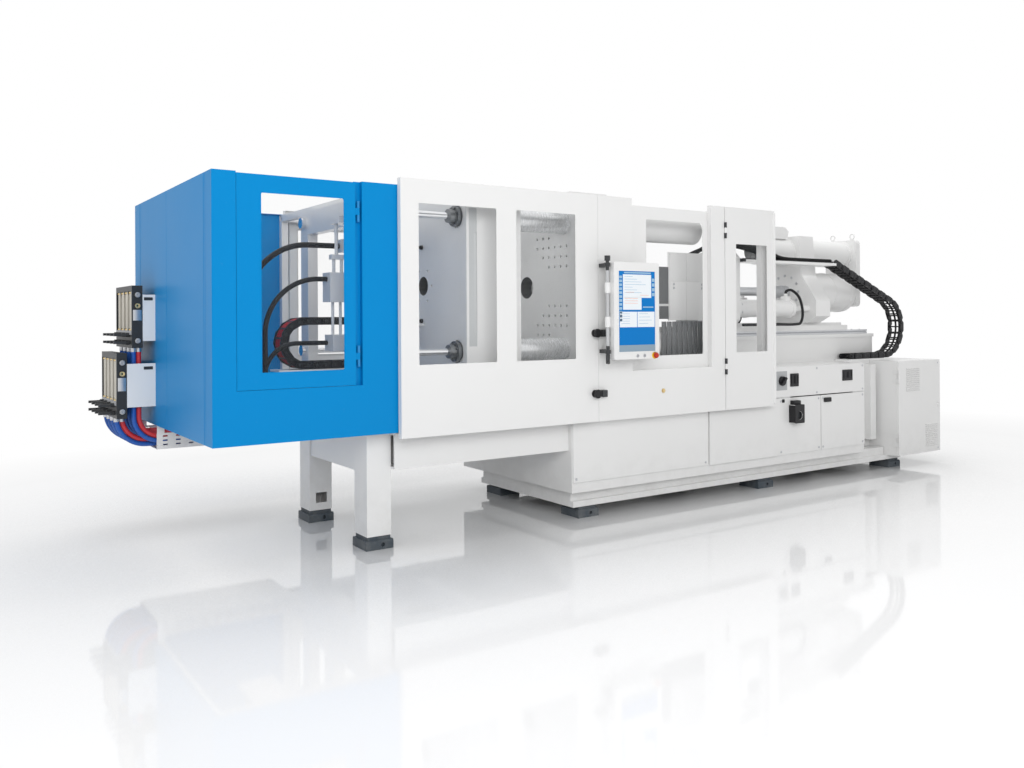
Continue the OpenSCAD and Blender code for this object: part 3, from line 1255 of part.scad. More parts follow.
module screw() color(steel) placed() {
    r = screw_d / 2 - slide_gap;
    pitch = 115;
    tip = nozzle_tip + 252 + shot;
    flight_x = [tip + 70, 4300];
    turned_x([[tip, 0], [tip + 40, 26], [tip + 70, 26], [flight_x[1] + 60, 28], [flight_x[1] + 60, r],
        [thrust_x[0] - 330, r], [thrust_x[0] - 330, 55], [thrust_x[0] - 60, 55],
        [thrust_x[0] - 60, 60], [thrust_x[1] + 40, 60], [thrust_x[1] + 40, 0]], axis_y, axis_z);
    translate([flight_x[0], axis_y, axis_z]) rotate([0, 90, 0])
        linear_extrude(flight_x[1] - flight_x[0], twist = -360 * (flight_x[1] - flight_x[0]) / pitch,
            slices = round((flight_x[1] - flight_x[0]) / pitch * 10))
            polygon([[20, -9], [r - 1, -5], [r - 1, 5], [20, 9]]);
}

module injection_chain() color([0.07, 0.07, 0.08]) placed() {
    c = [inj_chain_far - link_h / 2 - inj_bend, inj_chain_low + inj_bend];
    total = chain_run(inj_chain_start, c, inj_bend) + chain_arc(inj_chain_start, c, inj_bend)
        + c[0] - inj_chain_end;
    chain(inj_chain_start, c, inj_bend, floor(total / link_pitch), inj_chain_y);
}

module clamp_chain() color([0.07, 0.07, 0.08]) placed() {
    // Drawn bending the other way: the loop's far point is towards the clamp end
    s = [-clamp_chain_top_end, clamp_chain_z + clamp_bend];
    c = [-clamp_chain_x - clamp_bend, clamp_chain_z];
    total = chain_run(s, c, clamp_bend) + chain_arc(s, c, clamp_bend) + c[0] + clamp_chain_low_end;
    mirror([1, 0, 0]) chain(s, c, clamp_bend, floor(total / link_pitch), clamp_chain_y);
}

module main_switch() color(dark) placed() {
    y = bed_y0 - front_t;
    rod_y([y - 10, bed_y0 - slide_gap], 13, switch_x, switch_z);
    rod_y([y - 20, y - slide_gap], 38, switch_x, switch_z);
    translate([switch_x, 0, switch_z]) rotate([0, 45, 0]) block([-9, 9], [y - 38, y - 20], [-36, 36]);
}

// Control cabinet

module cabinet_body() color(white) placed() {
    y = [10 + 0.5, -15 + cab_depth];
    difference() {
        block([cab_x0, cab_x1], y, [cab_z0, cab_z1]);
        block([cab_x0 + sheet, cab_x1 - sheet], [y[0] - 1, y[1] - sheet], [cab_z0 + sheet, cab_z1 - sheet]);
    }
    upright(y[0], sheet) difference() {
        flat_rect([cab_x0, cab_x1], [cab_z0, cab_z1]);
        flat_rect([cab_x0 + 28, cab_x1 - 28], [cab_z0 + 28, cab_z1 - 28]);
    }
    upright(560, 4) flat_rect([cab_x0 + sheet, cab_x1 - sheet], [cab_z0 + sheet, cab_z1 - sheet]);
    for (row = [0 : 2]) for (i = [0 : 6])
        block([cab_x0 + 60 + i * 78, cab_x0 + 120 + i * 78], [450, 560], [240 + row * 240, 360 + row * 240]);
}

module cabinet_door() color(white) placed() {
    x = [cab_x0 + 3, cab_x1];
    z = [cab_z0 + 1, cab_z1 - 1];
    grilles = [[[126, 332], [703, 922]], [[430, 627], [176, 392]]];
    difference() {
        upright(-15, cab_door_t) flat_rect(x, z);
        block([x[0] + sheet, x[1] - sheet], [-15 + sheet, -14 + cab_door_t], [z[0] + sheet, z[1] - sheet]);
        for (g = grilles) for (i = [0 : louvres - 1]) {
            step = (g[1][1] - g[1][0]) / louvres;
            zz = g[1][0] + i * step;
            block([cab_x0 + g[0][0], cab_x0 + g[0][1]], [-16, -15 + sheet + 1], [zz, zz + step * 0.45]);
        }
    }
    for (g = grilles) for (i = [0 : louvres - 1]) {
        step = (g[1][1] - g[1][0]) / louvres;
        zz = g[1][0] + i * step;
        translate([cab_x0 + g[0][0] - 1, 0, 0]) rotate([90, 0, 90]) linear_extrude(g[0][1] - g[0][0] + 2)
            polygon([[-14, zz + step * 0.5], [-14, zz + step * 0.7], [-20, zz + step * 0.3],
                [-20, zz + step * 0.1]]);
    }
    for (zz = cab_hinge_zs)
        door_knuckle(cab_pin, zz, [[cab_pin[0], cab_x0 + 30], [-15 - 4, -15]]);
    rod_y([-15 - 14, -15], 14, cab_x1 - 40, 556);
}

// Water manifolds

module manifold(m) {
    block([m[0], m[1]], [manifold_y[0], manifold_y[0] + 14], [m[2], m[3]]);
    block([m[0], m[1]], [manifold_y[1] - 14, manifold_y[1]], [m[2], m[3]]);
    block([m[0], m[1]], [manifold_y[0] + 14, manifold_y[1] - 14], [m[3] - 36, m[3]]);
    block([m[0], m[1]], [manifold_y[0] + 14, manifold_y[1] - 14], [m[2], m[2] + 110]);
    block([m[1] - 6, m[1]], [manifold_y[0] + 14, manifold_y[1] - 14], [m[2] + 110, m[3] - 36]);
    for (i = [0 : channels - 1]) {
        y = manifold_y[0] + 75 + i * channel_pitch;
        rod_z([m[2] + 110, m[3] - 36], 22, (m[0] + m[1]) / 2 - 8, y);
        for (k = [0, 1]) {
            rod_x([m[0] - 26, m[0]], 14, y, m[2] + 34 + k * 50);
            lever(m[0] - 26, y, m[2] + 34 + k * 50);
        }
    }
    for (z = [m[2] + 46, m[3] - 60, m[3] - 130]) rod_y([manifold_y[0] - 16, manifold_y[0]], 17, (m[0] + m[1]) / 2, z);
}

module lever(x, y, z) {
    translate([0, 0, z - 8]) linear_extrude(16) polygon([
        [x + 1, y - 16], [x + 1, y + 16], [x - 30, y + 12], [x - 70, y + 9], [x - 70, y - 9], [x - 30, y - 12]
    ]);
}

module water_manifolds() color(dark) placed() {
    manifold(upper_manifold);
    manifold(lower_manifold);
}

module manifold_brackets() color(white) placed() {
    for (y = [manifold_y[0], manifold_y[1] - 4]) {
        upright(y, 4) flat_rect([upper_manifold[1], 0], [1262, 1560]);
        upright(y, 4) flat_rect([lower_manifold[1], 0], [840, 1118]);
    }
    // Perforated tray below the clamp guard, hung from the guard's edge
    difference() {
        block([10, tray_x1], tray_y, tray_z);
        block([9, tray_x1 - 4], [tray_y[0] + 3, tray_y[1] - 3], [tray_z[0] + 3, tray_z[1] + 1]);
        for (i = [0 : 10]) for (z = [tray_z[0] + 28, tray_z[0] + 56, tray_z[0] + 84])
            block([48 + i * 82, 78 + i * 82], [tray_y[0] - 1, tray_y[1] + 1], [z - 5, z + 5]);
    }
    for (y = [tray_y[0], tray_y[1] - 3]) block([12, 58], [y, y + 3], [tray_z[1], guard_z0]);
    block([640, 686], [tray_y[1] - 3, tray_y[1]], [tray_z[1], guard_z0]);
    block([640, 686], [tray_y[1] - 3, guard_w - 20], [guard_z0 - 3, guard_z0]);
}

module water_hoses() color([0.05, 0.2, 0.5]) placed() {
    r = hose_d / 2;
    for (i = [0 : channels - 1]) {
        y = manifold_y[0] + 75 + i * channel_pitch;
        for (k = [0, 1]) {
            turn = hose_gap * k;
            down_and_along(upper_manifold[1] - 16 - turn, y - 30, upper_manifold[2], 133 + turn, 642 - turn,
                tray_x1 - 4, r);
            down_and_along(lower_manifold[1] - 14 - turn, y + 22, lower_manifold[2], 150 + turn, 620 - turn,
                tray_x1 - 4, r);
        }
    }
}

// Clamp-end hydraulics seen through the service door

module valve_block() color(white) placed() {
    y = [tie_ys[0] + 70, tie_ys[0] + 190];
    back = [anchor_x[0] - 10, anchor_x[0]];
    block([anchor_x[0] - 165, back[0]], y, [1500, 1680]);
    block([hose_ends[0][0], back[0]], [y[0] + 60, y[1] + 30], [1810, 1890]);
    block([hose_ends[2][0], back[0]], [y[0] + 20, y[1] + 30], [1200, 1300]);
    top_z = tie_zs[1] - anchor_nut_r - 46;
    for (z = [[1520, 1660], [1800, 1900], [tie_zs[0] + anchor_nut_r + 6, 1310]])
        block(back, [tie_ys[0] - 50, y[1] + 30], z);
    for (x = [anchor_x[0] - 125, anchor_x[0] - 75]) {
        rod_z([1680, 1760], 10, x, y[0] + 40);
        rod_z([1300, 1500], 9, x, y[0] + 60);
    }
    block([anchor_x[0] - 150, anchor_x[0] - 60], [y[0] + 15, y[0] + 55], [1760, 1790]);
    rod_z([1790, top_z], 11, anchor_x[0] - 110, y[0] + 35);
    block([anchor_x[0] - 140, anchor_x[0]], [y[0] - 80, y[0] + 75], [top_z, top_z + 40]);
    block([270, 480], [post_y1, 470], [guard_z0 + sheet + 20, guard_z0 + sheet + post_w]);
}

// A hose that leaves towards the clamp end, bends through a quarter turn and goes down
module along_and_down(end_x, y, run_z, bend, left_x, r) {
    rod_x([left_x + bend, end_x], r, y, run_z);
    translate([left_x + bend, y, run_z - bend]) rotate([90, 0, 0]) rotate([0, 0, 90])
        rotate_extrude(angle = 90) translate([bend, 0]) circle(r);
    rod_z([guard_z0 + sheet + post_w, run_z - bend], r, left_x, y);
}

module clamp_hoses() color([0.07, 0.07, 0.08]) placed() {
    for (h = hose_ends) along_and_down(h[0], h[1], h[2], h[3], h[4], h[5]);
}

main_base();
base_panels();
levelling_feet();
end_portal();
clamp_bed();
fixed_platen();
robot_plate();
lock_housings();
piston_rods();
clamp_guard();
guard_frame();
fixed_guards();
guard_hardware();
panel_post();
injection_bed();
bed_rails();
pump_unit();
cabinet_body();
water_manifolds();
manifold_brackets();
water_hoses();
valve_block();
clamp_hoses();
clamp_chain();
injection_chain();
moving_platen();
tie_bars();
rod_glands();
ejector_cylinder();
ejector_plate();
lock_jaws_near();
lock_jaws_far();
gate_frame();
gate_panes();
gate_knobs();
rear_gate_frame();
rear_gate_panes();
nozzle_guard();
nozzle_guard_pane();
side_door();
side_door_pane();
service_door();
service_door_pane();
panel_housing();
panel_screen();
stop_button();
reset_button();
start_button();
carriage_frame();
barrel();
barrel_cover();
feed_block();
hydraulic_cylinders();
carriage_hoses();
thrust_block();
screw_motor();
gear_case();
screw();
main_switch();
cabinet_door();
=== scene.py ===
"""Finishes, trim and lighting for a guarded two-platen injection moulding machine."""

import math
from functools import cache

import bmesh
import bpy
from bpy.props import FloatProperty, FloatVectorProperty, IntProperty, PointerProperty
from mathutils import Matrix, Vector


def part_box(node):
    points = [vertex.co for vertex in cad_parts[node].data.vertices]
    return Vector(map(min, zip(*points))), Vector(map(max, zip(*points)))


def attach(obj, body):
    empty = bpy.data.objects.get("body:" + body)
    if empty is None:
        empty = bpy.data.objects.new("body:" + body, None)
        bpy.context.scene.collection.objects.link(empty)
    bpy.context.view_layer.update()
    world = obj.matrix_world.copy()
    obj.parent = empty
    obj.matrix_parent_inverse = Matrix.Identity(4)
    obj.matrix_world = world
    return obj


bl_info = {
    "name": "Injection moulding machine looks",
    "version": (1, 0, 0),
    "blender": (4, 5, 0),
    "location": "View3D > Sidebar > Moulding machine",
    "description": "Dresses the packed moulding machine with finishes, trim, fixings, cables and a stage",
    "category": "Object",
}

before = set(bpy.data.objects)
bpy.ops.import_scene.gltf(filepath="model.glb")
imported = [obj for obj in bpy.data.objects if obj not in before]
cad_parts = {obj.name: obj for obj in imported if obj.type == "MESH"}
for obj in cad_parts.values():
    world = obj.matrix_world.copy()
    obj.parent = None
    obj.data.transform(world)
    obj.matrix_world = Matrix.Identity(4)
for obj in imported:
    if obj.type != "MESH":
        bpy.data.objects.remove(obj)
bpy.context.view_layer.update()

# The operator-side corner of the clamp guard is the place that all millimetres are counted from
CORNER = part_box("clamp_guard")[0].copy()
CORNER.z = 0.0
TAU = 2 * math.pi

# Places of the machine in those millimetres
AXIS_Y, AXIS_Z = 700, 1620  # the bore of the platens and the barrel
MOTOR_Z = 1990  # height of the screw motor's axis
DRIVE_X = 5450  # front of the thrust block
CYLINDER_YS = (450, 950)
BASE_Y = 48  # faces of the front covers
GATE_WINDOWS = (1207, 1764, 1915, 2397), (1117, 2090)  # both gates alike
LOUVRES = (6247, 6453, 703, 922), (6551, 6748, 176, 392)
CIRCUIT_YS = [1365 + 120 * i for i in range(4)]  # the water manifolds' circuits

DARK = (0.02, 0.022, 0.025)
WHITE = (1, 1, 1, 1)
PAINTS = {}


def place(point):
    """A point in millimetres from the clamp guard's corner, as a point of the row frame in metres."""
    return CORNER + Vector(point) / 1000


def node_box(name):
    """Lowest and highest corner of a CAD node, in millimetres from the clamp guard's corner."""
    low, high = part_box(name)
    return (low - CORNER) * 1000, (high - CORNER) * 1000


# Shader building


class Value:
    """A shader socket that can be used in an expression."""

    def __init__(self, finish, socket):
        self.finish = finish
        self.socket = socket

    def _math(self, operation, other=None, swap=False):
        a, b = (other, self) if swap else (self, other)
        values = {0: a} if b is None else {0: a, 1: b}
        return self.finish.node("ShaderNodeMath", {"operation": operation}, values)

    def __add__(self, other):
        return self._math("ADD", other)

    __radd__ = __add__

    def __sub__(self, other):
        return self._math("SUBTRACT", other)

    def __rsub__(self, other):
        return self._math("SUBTRACT", other, swap=True)

    def __mul__(self, other):
        return self._math("MULTIPLY", other)

    __rmul__ = __mul__

    def __truediv__(self, other):
        return self._math("DIVIDE", other)

    def __pow__(self, other):
        return self._math("POWER", other)

    def over(self, edge):
        return self._math("GREATER_THAN", edge)

    def fraction(self):
        return self._math("FRACT")

    def higher(self, other):
        return self._math("MAXIMUM", other)

    def between(self, low, high):
        """0 below low, 1 above high, a straight rise between."""
        settings = {"clamp": True}
        return self.finish.node("ShaderNodeMapRange", settings, {0: self, 1: low, 2: high, 3: 0.0, 4: 1.0})


class Nodes:
    """Adds nodes to one tree and hands back their sockets as values."""

    def __init__(self, tree):
        self.tree = tree
        tree.nodes.clear()

    def node(self, kind, settings=None, values=None, out=0):
        made = self.tree.nodes.new(kind)
        for key, value in (settings or {}).items():
            setattr(made, key, value)
        for key, value in (values or {}).items():
            if isinstance(value, Value):
                self.tree.links.new(value.socket, made.inputs[key])
            else:
                made.inputs[key].default_value = value
        return Value(self, made.outputs[out])

    def end(self, shader, kind="ShaderNodeOutputMaterial"):
        self.tree.links.new(shader.socket, self.tree.nodes.new(kind).inputs[0])


class Finish(Nodes):
    """Builds the nodes of one material."""

    def __init__(self, name):
        self.material = bpy.data.materials.new(name)
        self.material.use_nodes = True
        super().__init__(self.material.node_tree)
        self.place = self.node("ShaderNodeTexCoord", out="Object")
        split = self.tree.nodes.new("ShaderNodeSeparateXYZ")
        self.tree.links.new(self.place.socket, split.inputs[0])
        self.x, self.y, self.z = (Value(self, s) for s in split.outputs)

    def noise(self, scale, detail=2.0, rough=0.5, stretch=(1, 1, 1)):
        where = self.place
        if stretch != (1, 1, 1):
            where = self.node("ShaderNodeMapping", None, {"Vector": where, "Scale": stretch})
        values = {"Vector": where, "Scale": scale, "Detail": detail, "Roughness": rough}
        return self.node("ShaderNodeTexNoise", None, values)

    def mix(self, share, first, second):
        """Colour between first and second."""
        settings = {"data_type": "RGBA"}
        return self.node("ShaderNodeMix", settings, {0: share, 6: first, 7: second}, out=2)

    def bump(self, height, strength, distance):
        values = {"Strength": strength, "Distance": distance, "Height": height}
        return self.node("ShaderNodeBump", None, values)

    def inside(self, low, high):
        """1 inside a box given by two corners in millimetres."""
        a, b = place(low), place(high)
        mask = self.x.over(a.x) * (1 - self.x.over(b.x)) * self.y.over(a.y) * (1 - self.y.over(b.y))
        return mask * self.z.over(a.z) * (1 - self.z.over(b.z))

    def surface(self, **values):
        values = {key.replace("_", " "): value for key, value in values.items()}
        self.end(self.node("ShaderNodeBsdfPrincipled", None, values))
        return self.material


def distance(a, b):
    return (a ** 2 + b ** 2) ** 0.5


def shade(colour, factor):
    return (colour[0] * factor, colour[1] * factor, colour[2] * factor, 1.0)


def enamel(name, colour, rough=0.3, coat=0.2, shine=0.4):
    """Sprayed machine enamel: faint orange peel, a little drift of tone, dust low down."""
    f = Finish(name)
    drift = f.noise(1.7, 3)
    peel = f.noise(160, 2)
    speck = f.noise(38, 6, 0.7).between(0.66, 0.74)
    tone = f.mix(drift, shade(colour, 0.975), shade(colour, 1.015))
    dusty = (1 - f.z.between(0.0, 0.5)) * f.noise(9, 5, 0.65).between(0.42, 0.7) * 0.22
    tone = f.mix(dusty, tone, (0.42, 0.41, 0.39, 1))
    tone = f.mix(speck * 0.05, tone, (0.5, 0.5, 0.5, 1))
    gloss = rough + (drift - 0.5) * 0.1 + dusty * 0.6
    return f.surface(Base_Color=tone, Roughness=gloss, Specular_IOR_Level=shine, Coat_Weight=coat,
                     Coat_Roughness=0.12, Normal=f.bump(peel, 0.035, 0.002))


def machined(name, colour, rough=0.34, along=(1, 30, 30), metal=0.9):
    """Milled or turned metal with fine tool lines along one way."""
    f = Finish(name)
    lines = f.noise(26, 3, 0.6, along)
    cloud = f.noise(3.2, 4)
    stain = f.noise(11, 6, 0.7).between(0.58, 0.8)
    tone = f.mix(lines, shade(colour, 0.9), shade(colour, 1.06))
    tone = f.mix(stain * 0.18, tone, shade(colour, 0.6))
    return f.surface(Base_Color=tone, Metallic=metal, Roughness=rough + (lines - 0.5) * 0.16 + cloud * 0.06,
                     Normal=f.bump(lines, 0.06, 0.001))


def platen_finish(name, metal, paint, bore_radius):
    """Machined faces, the two upright sides painted, and shade in the bore and the hollow behind it."""
    f = Finish(name)
    lines = f.noise(26, 3, 0.6, (1, 1, 14))
    cloud = f.noise(2.6, 4)
    near, far = place((0, 126, 0)).y, place((0, 1274, 0)).y
    side = (1 - f.y.over(near)).higher(f.y.over(far))
    axis = place((0, AXIS_Y, AXIS_Z))
    bore = 1 - distance(f.y - axis.y, f.z - axis.z).over(bore_radius / 1000)
    hollow = f.inside((1704, 132, 1289), (1980, 1268, 1951)).higher(bore)
    tone = f.mix(lines, shade(metal, 0.93), shade(metal, 1.05))
    tone = f.mix(cloud.between(0.5, 0.8) * 0.16, tone, shade(metal, 0.72))
    tone = f.mix(hollow, tone, shade(metal, 0.12))
    bare = 1 - side
    return f.surface(Base_Color=f.mix(side, tone, shade(paint, 0.97)), Metallic=bare * 0.2,
                     Roughness=0.34 + bare * (lines * 0.16) + cloud * 0.05,
                     Normal=f.bump(lines * bare, 0.05, 0.001))


def chromed(name):
    f = Finish(name)
    rings = f.noise(60, 2, 0.5, (9, 0.4, 0.4))
    smear = f.noise(5, 5).between(0.45, 0.8)
    tone = f.mix(smear, (0.86, 0.87, 0.89, 1), (0.74, 0.75, 0.77, 1))
    return f.surface(Base_Color=tone, Metallic=1.0, Roughness=0.09 + rings * 0.07 + smear * 0.08,
                     Normal=f.bump(rings, 0.02, 0.001))


def moulded(name, colour, rough=0.45):
    """Moulded plastic with a fine spark-eroded grain."""
    f = Finish(name)
    texture = f.noise(420, 2)
    drift = f.noise(6, 3)
    tone = f.mix(drift, shade(colour, 0.9), shade(colour, 1.12))
    return f.surface(Base_Color=tone, Roughness=rough + (texture - 0.5) * 0.18, Specular_IOR_Level=0.35,
                     Normal=f.bump(texture, 0.12, 0.0006))


def rubbery(name, colour, rough=0.62):
    f = Finish(name)
    dust = f.noise(14, 6, 0.7).between(0.5, 0.85)
    tone = f.mix(dust * 0.2, shade(colour, 1.0), (0.07, 0.07, 0.07, 1))
    return f.surface(Base_Color=tone, Roughness=rough + dust * 0.15, Specular_IOR_Level=0.3,
                     Normal=f.bump(f.noise(90, 3), 0.1, 0.001))


def clear_sheet(name):
    """Polycarbonate pane: nearly clear, faintly scuffed."""
    f = Finish(name)
    scuff = f.noise(18, 8, 0.75, (1, 1, 0.3)).between(0.55, 0.85)
    tone = f.mix(scuff, (0.30, 0.33, 0.35, 1), (0.6, 0.62, 0.63, 1))
    return f.surface(Base_Color=tone, Roughness=0.04 + scuff * 0.12, Specular_IOR_Level=0.3,
                     Alpha=0.025 + scuff * 0.025)


def two_colour_hoses(name):
    """Return hoses red, supply hoses blue, told apart by their distance from the bends' centres."""
    f = Finish(name)
    y0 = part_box("water_hoses")[0].y - 0.011

    def beyond(centre, radius):
        middle = place(centre)
        return distance((middle.x - f.x).higher(0.0), (middle.z - f.z).higher(0.0)).over(radius)

    upper = 1 - ((f.y - y0) / 0.12).fraction().over(0.433)
    outer = upper * beyond((40, 0, 775), 0.149) + (1 - upper) * beyond((-37, 0, 770), 0.166)
    dust = f.noise(14, 6, 0.7).between(0.5, 0.85)
    tone = f.mix(outer, (0.55, 0.03, 0.04, 1), (0.015, 0.10, 0.42, 1))
    tone = f.mix(dust * 0.2, tone, (0.2, 0.2, 0.2, 1))
    return f.surface(Base_Color=tone, Roughness=0.42 + dust * 0.2,
                     Normal=f.bump(f.noise(120, 2), 0.08, 0.001))


def worn(f, tone):
    wear = f.noise(60, 4)
    return f.surface(Base_Color=f.mix(wear * 0.06, tone, (0.4, 0.4, 0.4, 1)), Roughness=0.38 + wear * 0.1,
                     Normal=f.bump(wear, 0.04, 0.001))


def hinge_paint(name, blue, white):
    """Hinge leaves in the colour of the door that they carry, and dark catches, rollers and knuckles."""
    f = Finish(name)
    pin = place((3839, -59, 0))
    knuckle = 1 - distance(f.x - pin.x, f.y - pin.y).over(0.0135)
    tone = f.mix(f.x.over(place((1080, 0, 0)).x), shade(blue, 0.95), shade(DARK, 1))
    return worn(f, f.mix(f.x.over(place((3700, 0, 0)).x) * (1 - knuckle), tone, shade(white, 0.97)))


def post_paint(name):
    """A grey post between its dark brackets."""
    f = Finish(name)
    low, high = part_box("panel_post")
    grey = f.z.over(low.z + 0.12) * (1 - f.z.over(high.z - 0.1))
    return worn(f, f.mix(grey, shade(DARK, 1), (0.5, 0.51, 0.52, 1)))


def glowing(name, colour):
    """A display field, lit so faintly that its colour stays."""
    f = Finish(name)
    grain = f.noise(700, 1)
    tone = f.mix(grain, shade(colour, 0.96), shade(colour, 1.04))
    return f.surface(Base_Color=tone, Roughness=0.3, Specular_IOR_Level=0.12, Emission_Color=tone,
                     Emission_Strength=0.08)


# Mesh building, in millimetres from the clamp guard's corner


def rounded_outline(low, high, radius, steps=6):
    """Corners of a rectangle with rounded corners, turning anticlockwise."""
    points = []
    corners = [(high[0] - radius, high[1] - radius, 0), (low[0] + radius, high[1] - radius, 1),
               (low[0] + radius, low[1] + radius, 2), (high[0] - radius, low[1] + radius, 3)]
    for cx, cy, quarter in corners:
        for i in range(steps + 1):
            a = (quarter + i / steps) * math.pi / 2
            points.append((cx + radius * math.cos(a), cy + radius * math.sin(a)))
    return points


def circle_outline(x, z, radius):
    """A circle with as many corners as a rounded outline of 6 steps, so that a band can join them."""
    angles = [TAU * i / 28 for i in range(28)]
    return [(x + radius * math.cos(a), z + radius * math.sin(a)) for a in angles]


AXES = {
    "x": lambda a, b, c: (c, a, b),
    "y": lambda a, b, c: (a, c, b),
    "z": lambda a, b, c: (a, b, c),
}


SHARP = math.radians(35)  # edges that turn less are shaded smooth


def keep(name, mesh, body):
    """Puts a mesh in the scene as a piece that rides on a body."""
    made = bpy.data.objects.new(name, mesh)
    bpy.context.scene.collection.objects.link(made)
    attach(made, body)


class Shape:
    """Collects vertices and faces of one piece."""

    def __init__(self):
        self.verts = []
        self.faces = []

    def add(self, verts, faces):
        start = len(self.verts)
        self.verts += [tuple(v) for v in verts]
        self.faces += [tuple(start + i for i in f) for f in faces]
        return self

    def prism(self, outline, axis, low, high, chamfer=0.0):
        """An outline made thick along an axis, its edges broken by a chamfer."""
        turn = AXES[axis]
        n = len(outline)
        cx = sum(p[0] for p in outline) / n
        cy = sum(p[1] for p in outline) / n
        reach = max(math.hypot(p[0] - cx, p[1] - cy) for p in outline)
        layers = [(low, 0), (high, 0)]
        if chamfer:
            layers = [(low, chamfer), (low + chamfer, 0), (high - chamfer, 0), (high, chamfer)]
        verts = []
        for level, inset in layers:
            s = 1 - inset / reach
            verts += [turn(cx + (p[0] - cx) * s, cy + (p[1] - cy) * s, level) for p in outline]
        faces = [tuple(range(n))[::-1], tuple(range(n * (len(layers) - 1), n * len(layers)))]
        for k in range(len(layers) - 1):
            faces += [(k * n + i, k * n + (i + 1) % n, (k + 1) * n + (i + 1) % n, (k + 1) * n + i)
                      for i in range(n)]
        return self.add(verts, faces)

    def box(self, low, high, chamfer=1.5):
        outline = rounded_outline((low[0], low[1]), (high[0], high[1]), chamfer * 1.5, 2)
        return self.prism(outline, "z", low[2], high[2], chamfer)

    def slab(self, low, high, radius, y0, y1, chamfer=0.0, steps=6):
        """An upright plate with rounded corners."""
        return self.prism(rounded_outline(low, high, radius, steps), "y", y0, y1, chamfer)

    def band(self, outer, inner, axis, low, high):
        """A closed frame between two outlines with as many corners."""
        turn = AXES[axis]
        n = len(outer)
        verts = [turn(*p, low) for p in outer] + [turn(*p, low) for p in inner]
        verts += [turn(*p, high) for p in inner] + [turn(*p, high) for p in outer]
        faces = [(k * n + i, k * n + (i + 1) % n, (k + 1) % 4 * n + (i + 1) % n, (k + 1) % 4 * n + i)
                 for k in range(4) for i in range(n)]
        return self.add(verts, faces)

    def turned(self, profile, axis, centre, steps=32):
        """Profile points (distance along the axis, radius) turned about it."""
        turn = AXES[axis]
        verts, faces = [], []
        n = len(profile)
        for i in range(steps):
            a = TAU * i / steps
            for along, radius in profile:
                p = turn(radius * math.cos(a), radius * math.sin(a), along)
                verts.append((p[0] + centre[0], p[1] + centre[1], p[2] + centre[2]))
        for i in range(steps):
            j = (i + 1) % steps
            faces += [(i * n + k, j * n + k, j * n + k + 1, i * n + k + 1) for k in range(n - 1)]
            if profile[0][1] > 0 or profile[-1][1] > 0:
                faces.append((i * n + n - 1, j * n + n - 1, j * n, i * n))
        return self.add(verts, faces)

    def ring(self, levels, radii, axis, centre, steps=32):
        """A ring between two levels along an axis, or a disc when the first radius is 0."""
        (low, high), (inner, outer) = levels, radii
        return self.turned([(low, inner), (low, outer), (high, outer), (high, inner)], axis, centre, steps)

    def tube(self, points, radius, steps=12):
        """A round tube through points, with closed ends."""
        path = [Vector(p) for p in points]
        tangents = [(path[min(i + 1, len(path) - 1)] - path[max(i - 1, 0)]).normalized()
                    for i in range(len(path))]
        side = tangents[0].orthogonal().normalized()
        verts = []
        for p, t in zip(path, tangents):
            side = (side - t * side.dot(t)).normalized()
            other = t.cross(side)
            verts += [p + radius * (math.cos(TAU * k / steps) * side + math.sin(TAU * k / steps) * other)
                      for k in range(steps)]
        faces = [tuple(range(steps))[::-1], tuple(range(len(verts) - steps, len(verts)))]
        for i in range(len(path) - 1):
            faces += [(i * steps + k, i * steps + (k + 1) % steps, (i + 1) * steps + (k + 1) % steps,
                       (i + 1) * steps + k) for k in range(steps)]
        return self.add(verts, faces)

    def make(self, name, body, slot, paint):
        mesh = bpy.data.meshes.new(name)
        mesh.from_pydata([place(v) for v in self.verts], [], self.faces)
        b = bmesh.new()
        b.from_mesh(mesh)
        bmesh.ops.remove_doubles(b, verts=b.verts, dist=1e-6)
        bmesh.ops.recalc_face_normals(b, faces=b.faces)
        for face in b.faces:
            face.smooth = True
        for edge in b.edges:
            edge.smooth = len(edge.link_faces) != 2 or edge.calc_face_angle(0) < SHARP
        b.to_mesh(mesh)
        b.free()
        mesh.materials.append(PAINTS[paint])
        keep(name, mesh, body)


def smooth_path(points, per=8):
    """Points along a smooth curve through the given ones."""
    p = [Vector(q) for q in points]
    p = [2 * p[0] - p[1]] + p + [2 * p[-1] - p[-2]]
    out = []
    for i in range(1, len(p) - 2):
        for k in range(per):
            t = k / per
            out.append(0.5 * ((2 * p[i]) + (p[i + 1] - p[i - 1]) * t
                              + (2 * p[i - 1] - 5 * p[i] + 4 * p[i + 1] - p[i + 2]) * t * t
                              + (3 * p[i] - p[i - 1] - 3 * p[i + 1] + p[i + 2]) * t ** 3))
    out.append(p[-2])
    return out


# Geometry Nodes


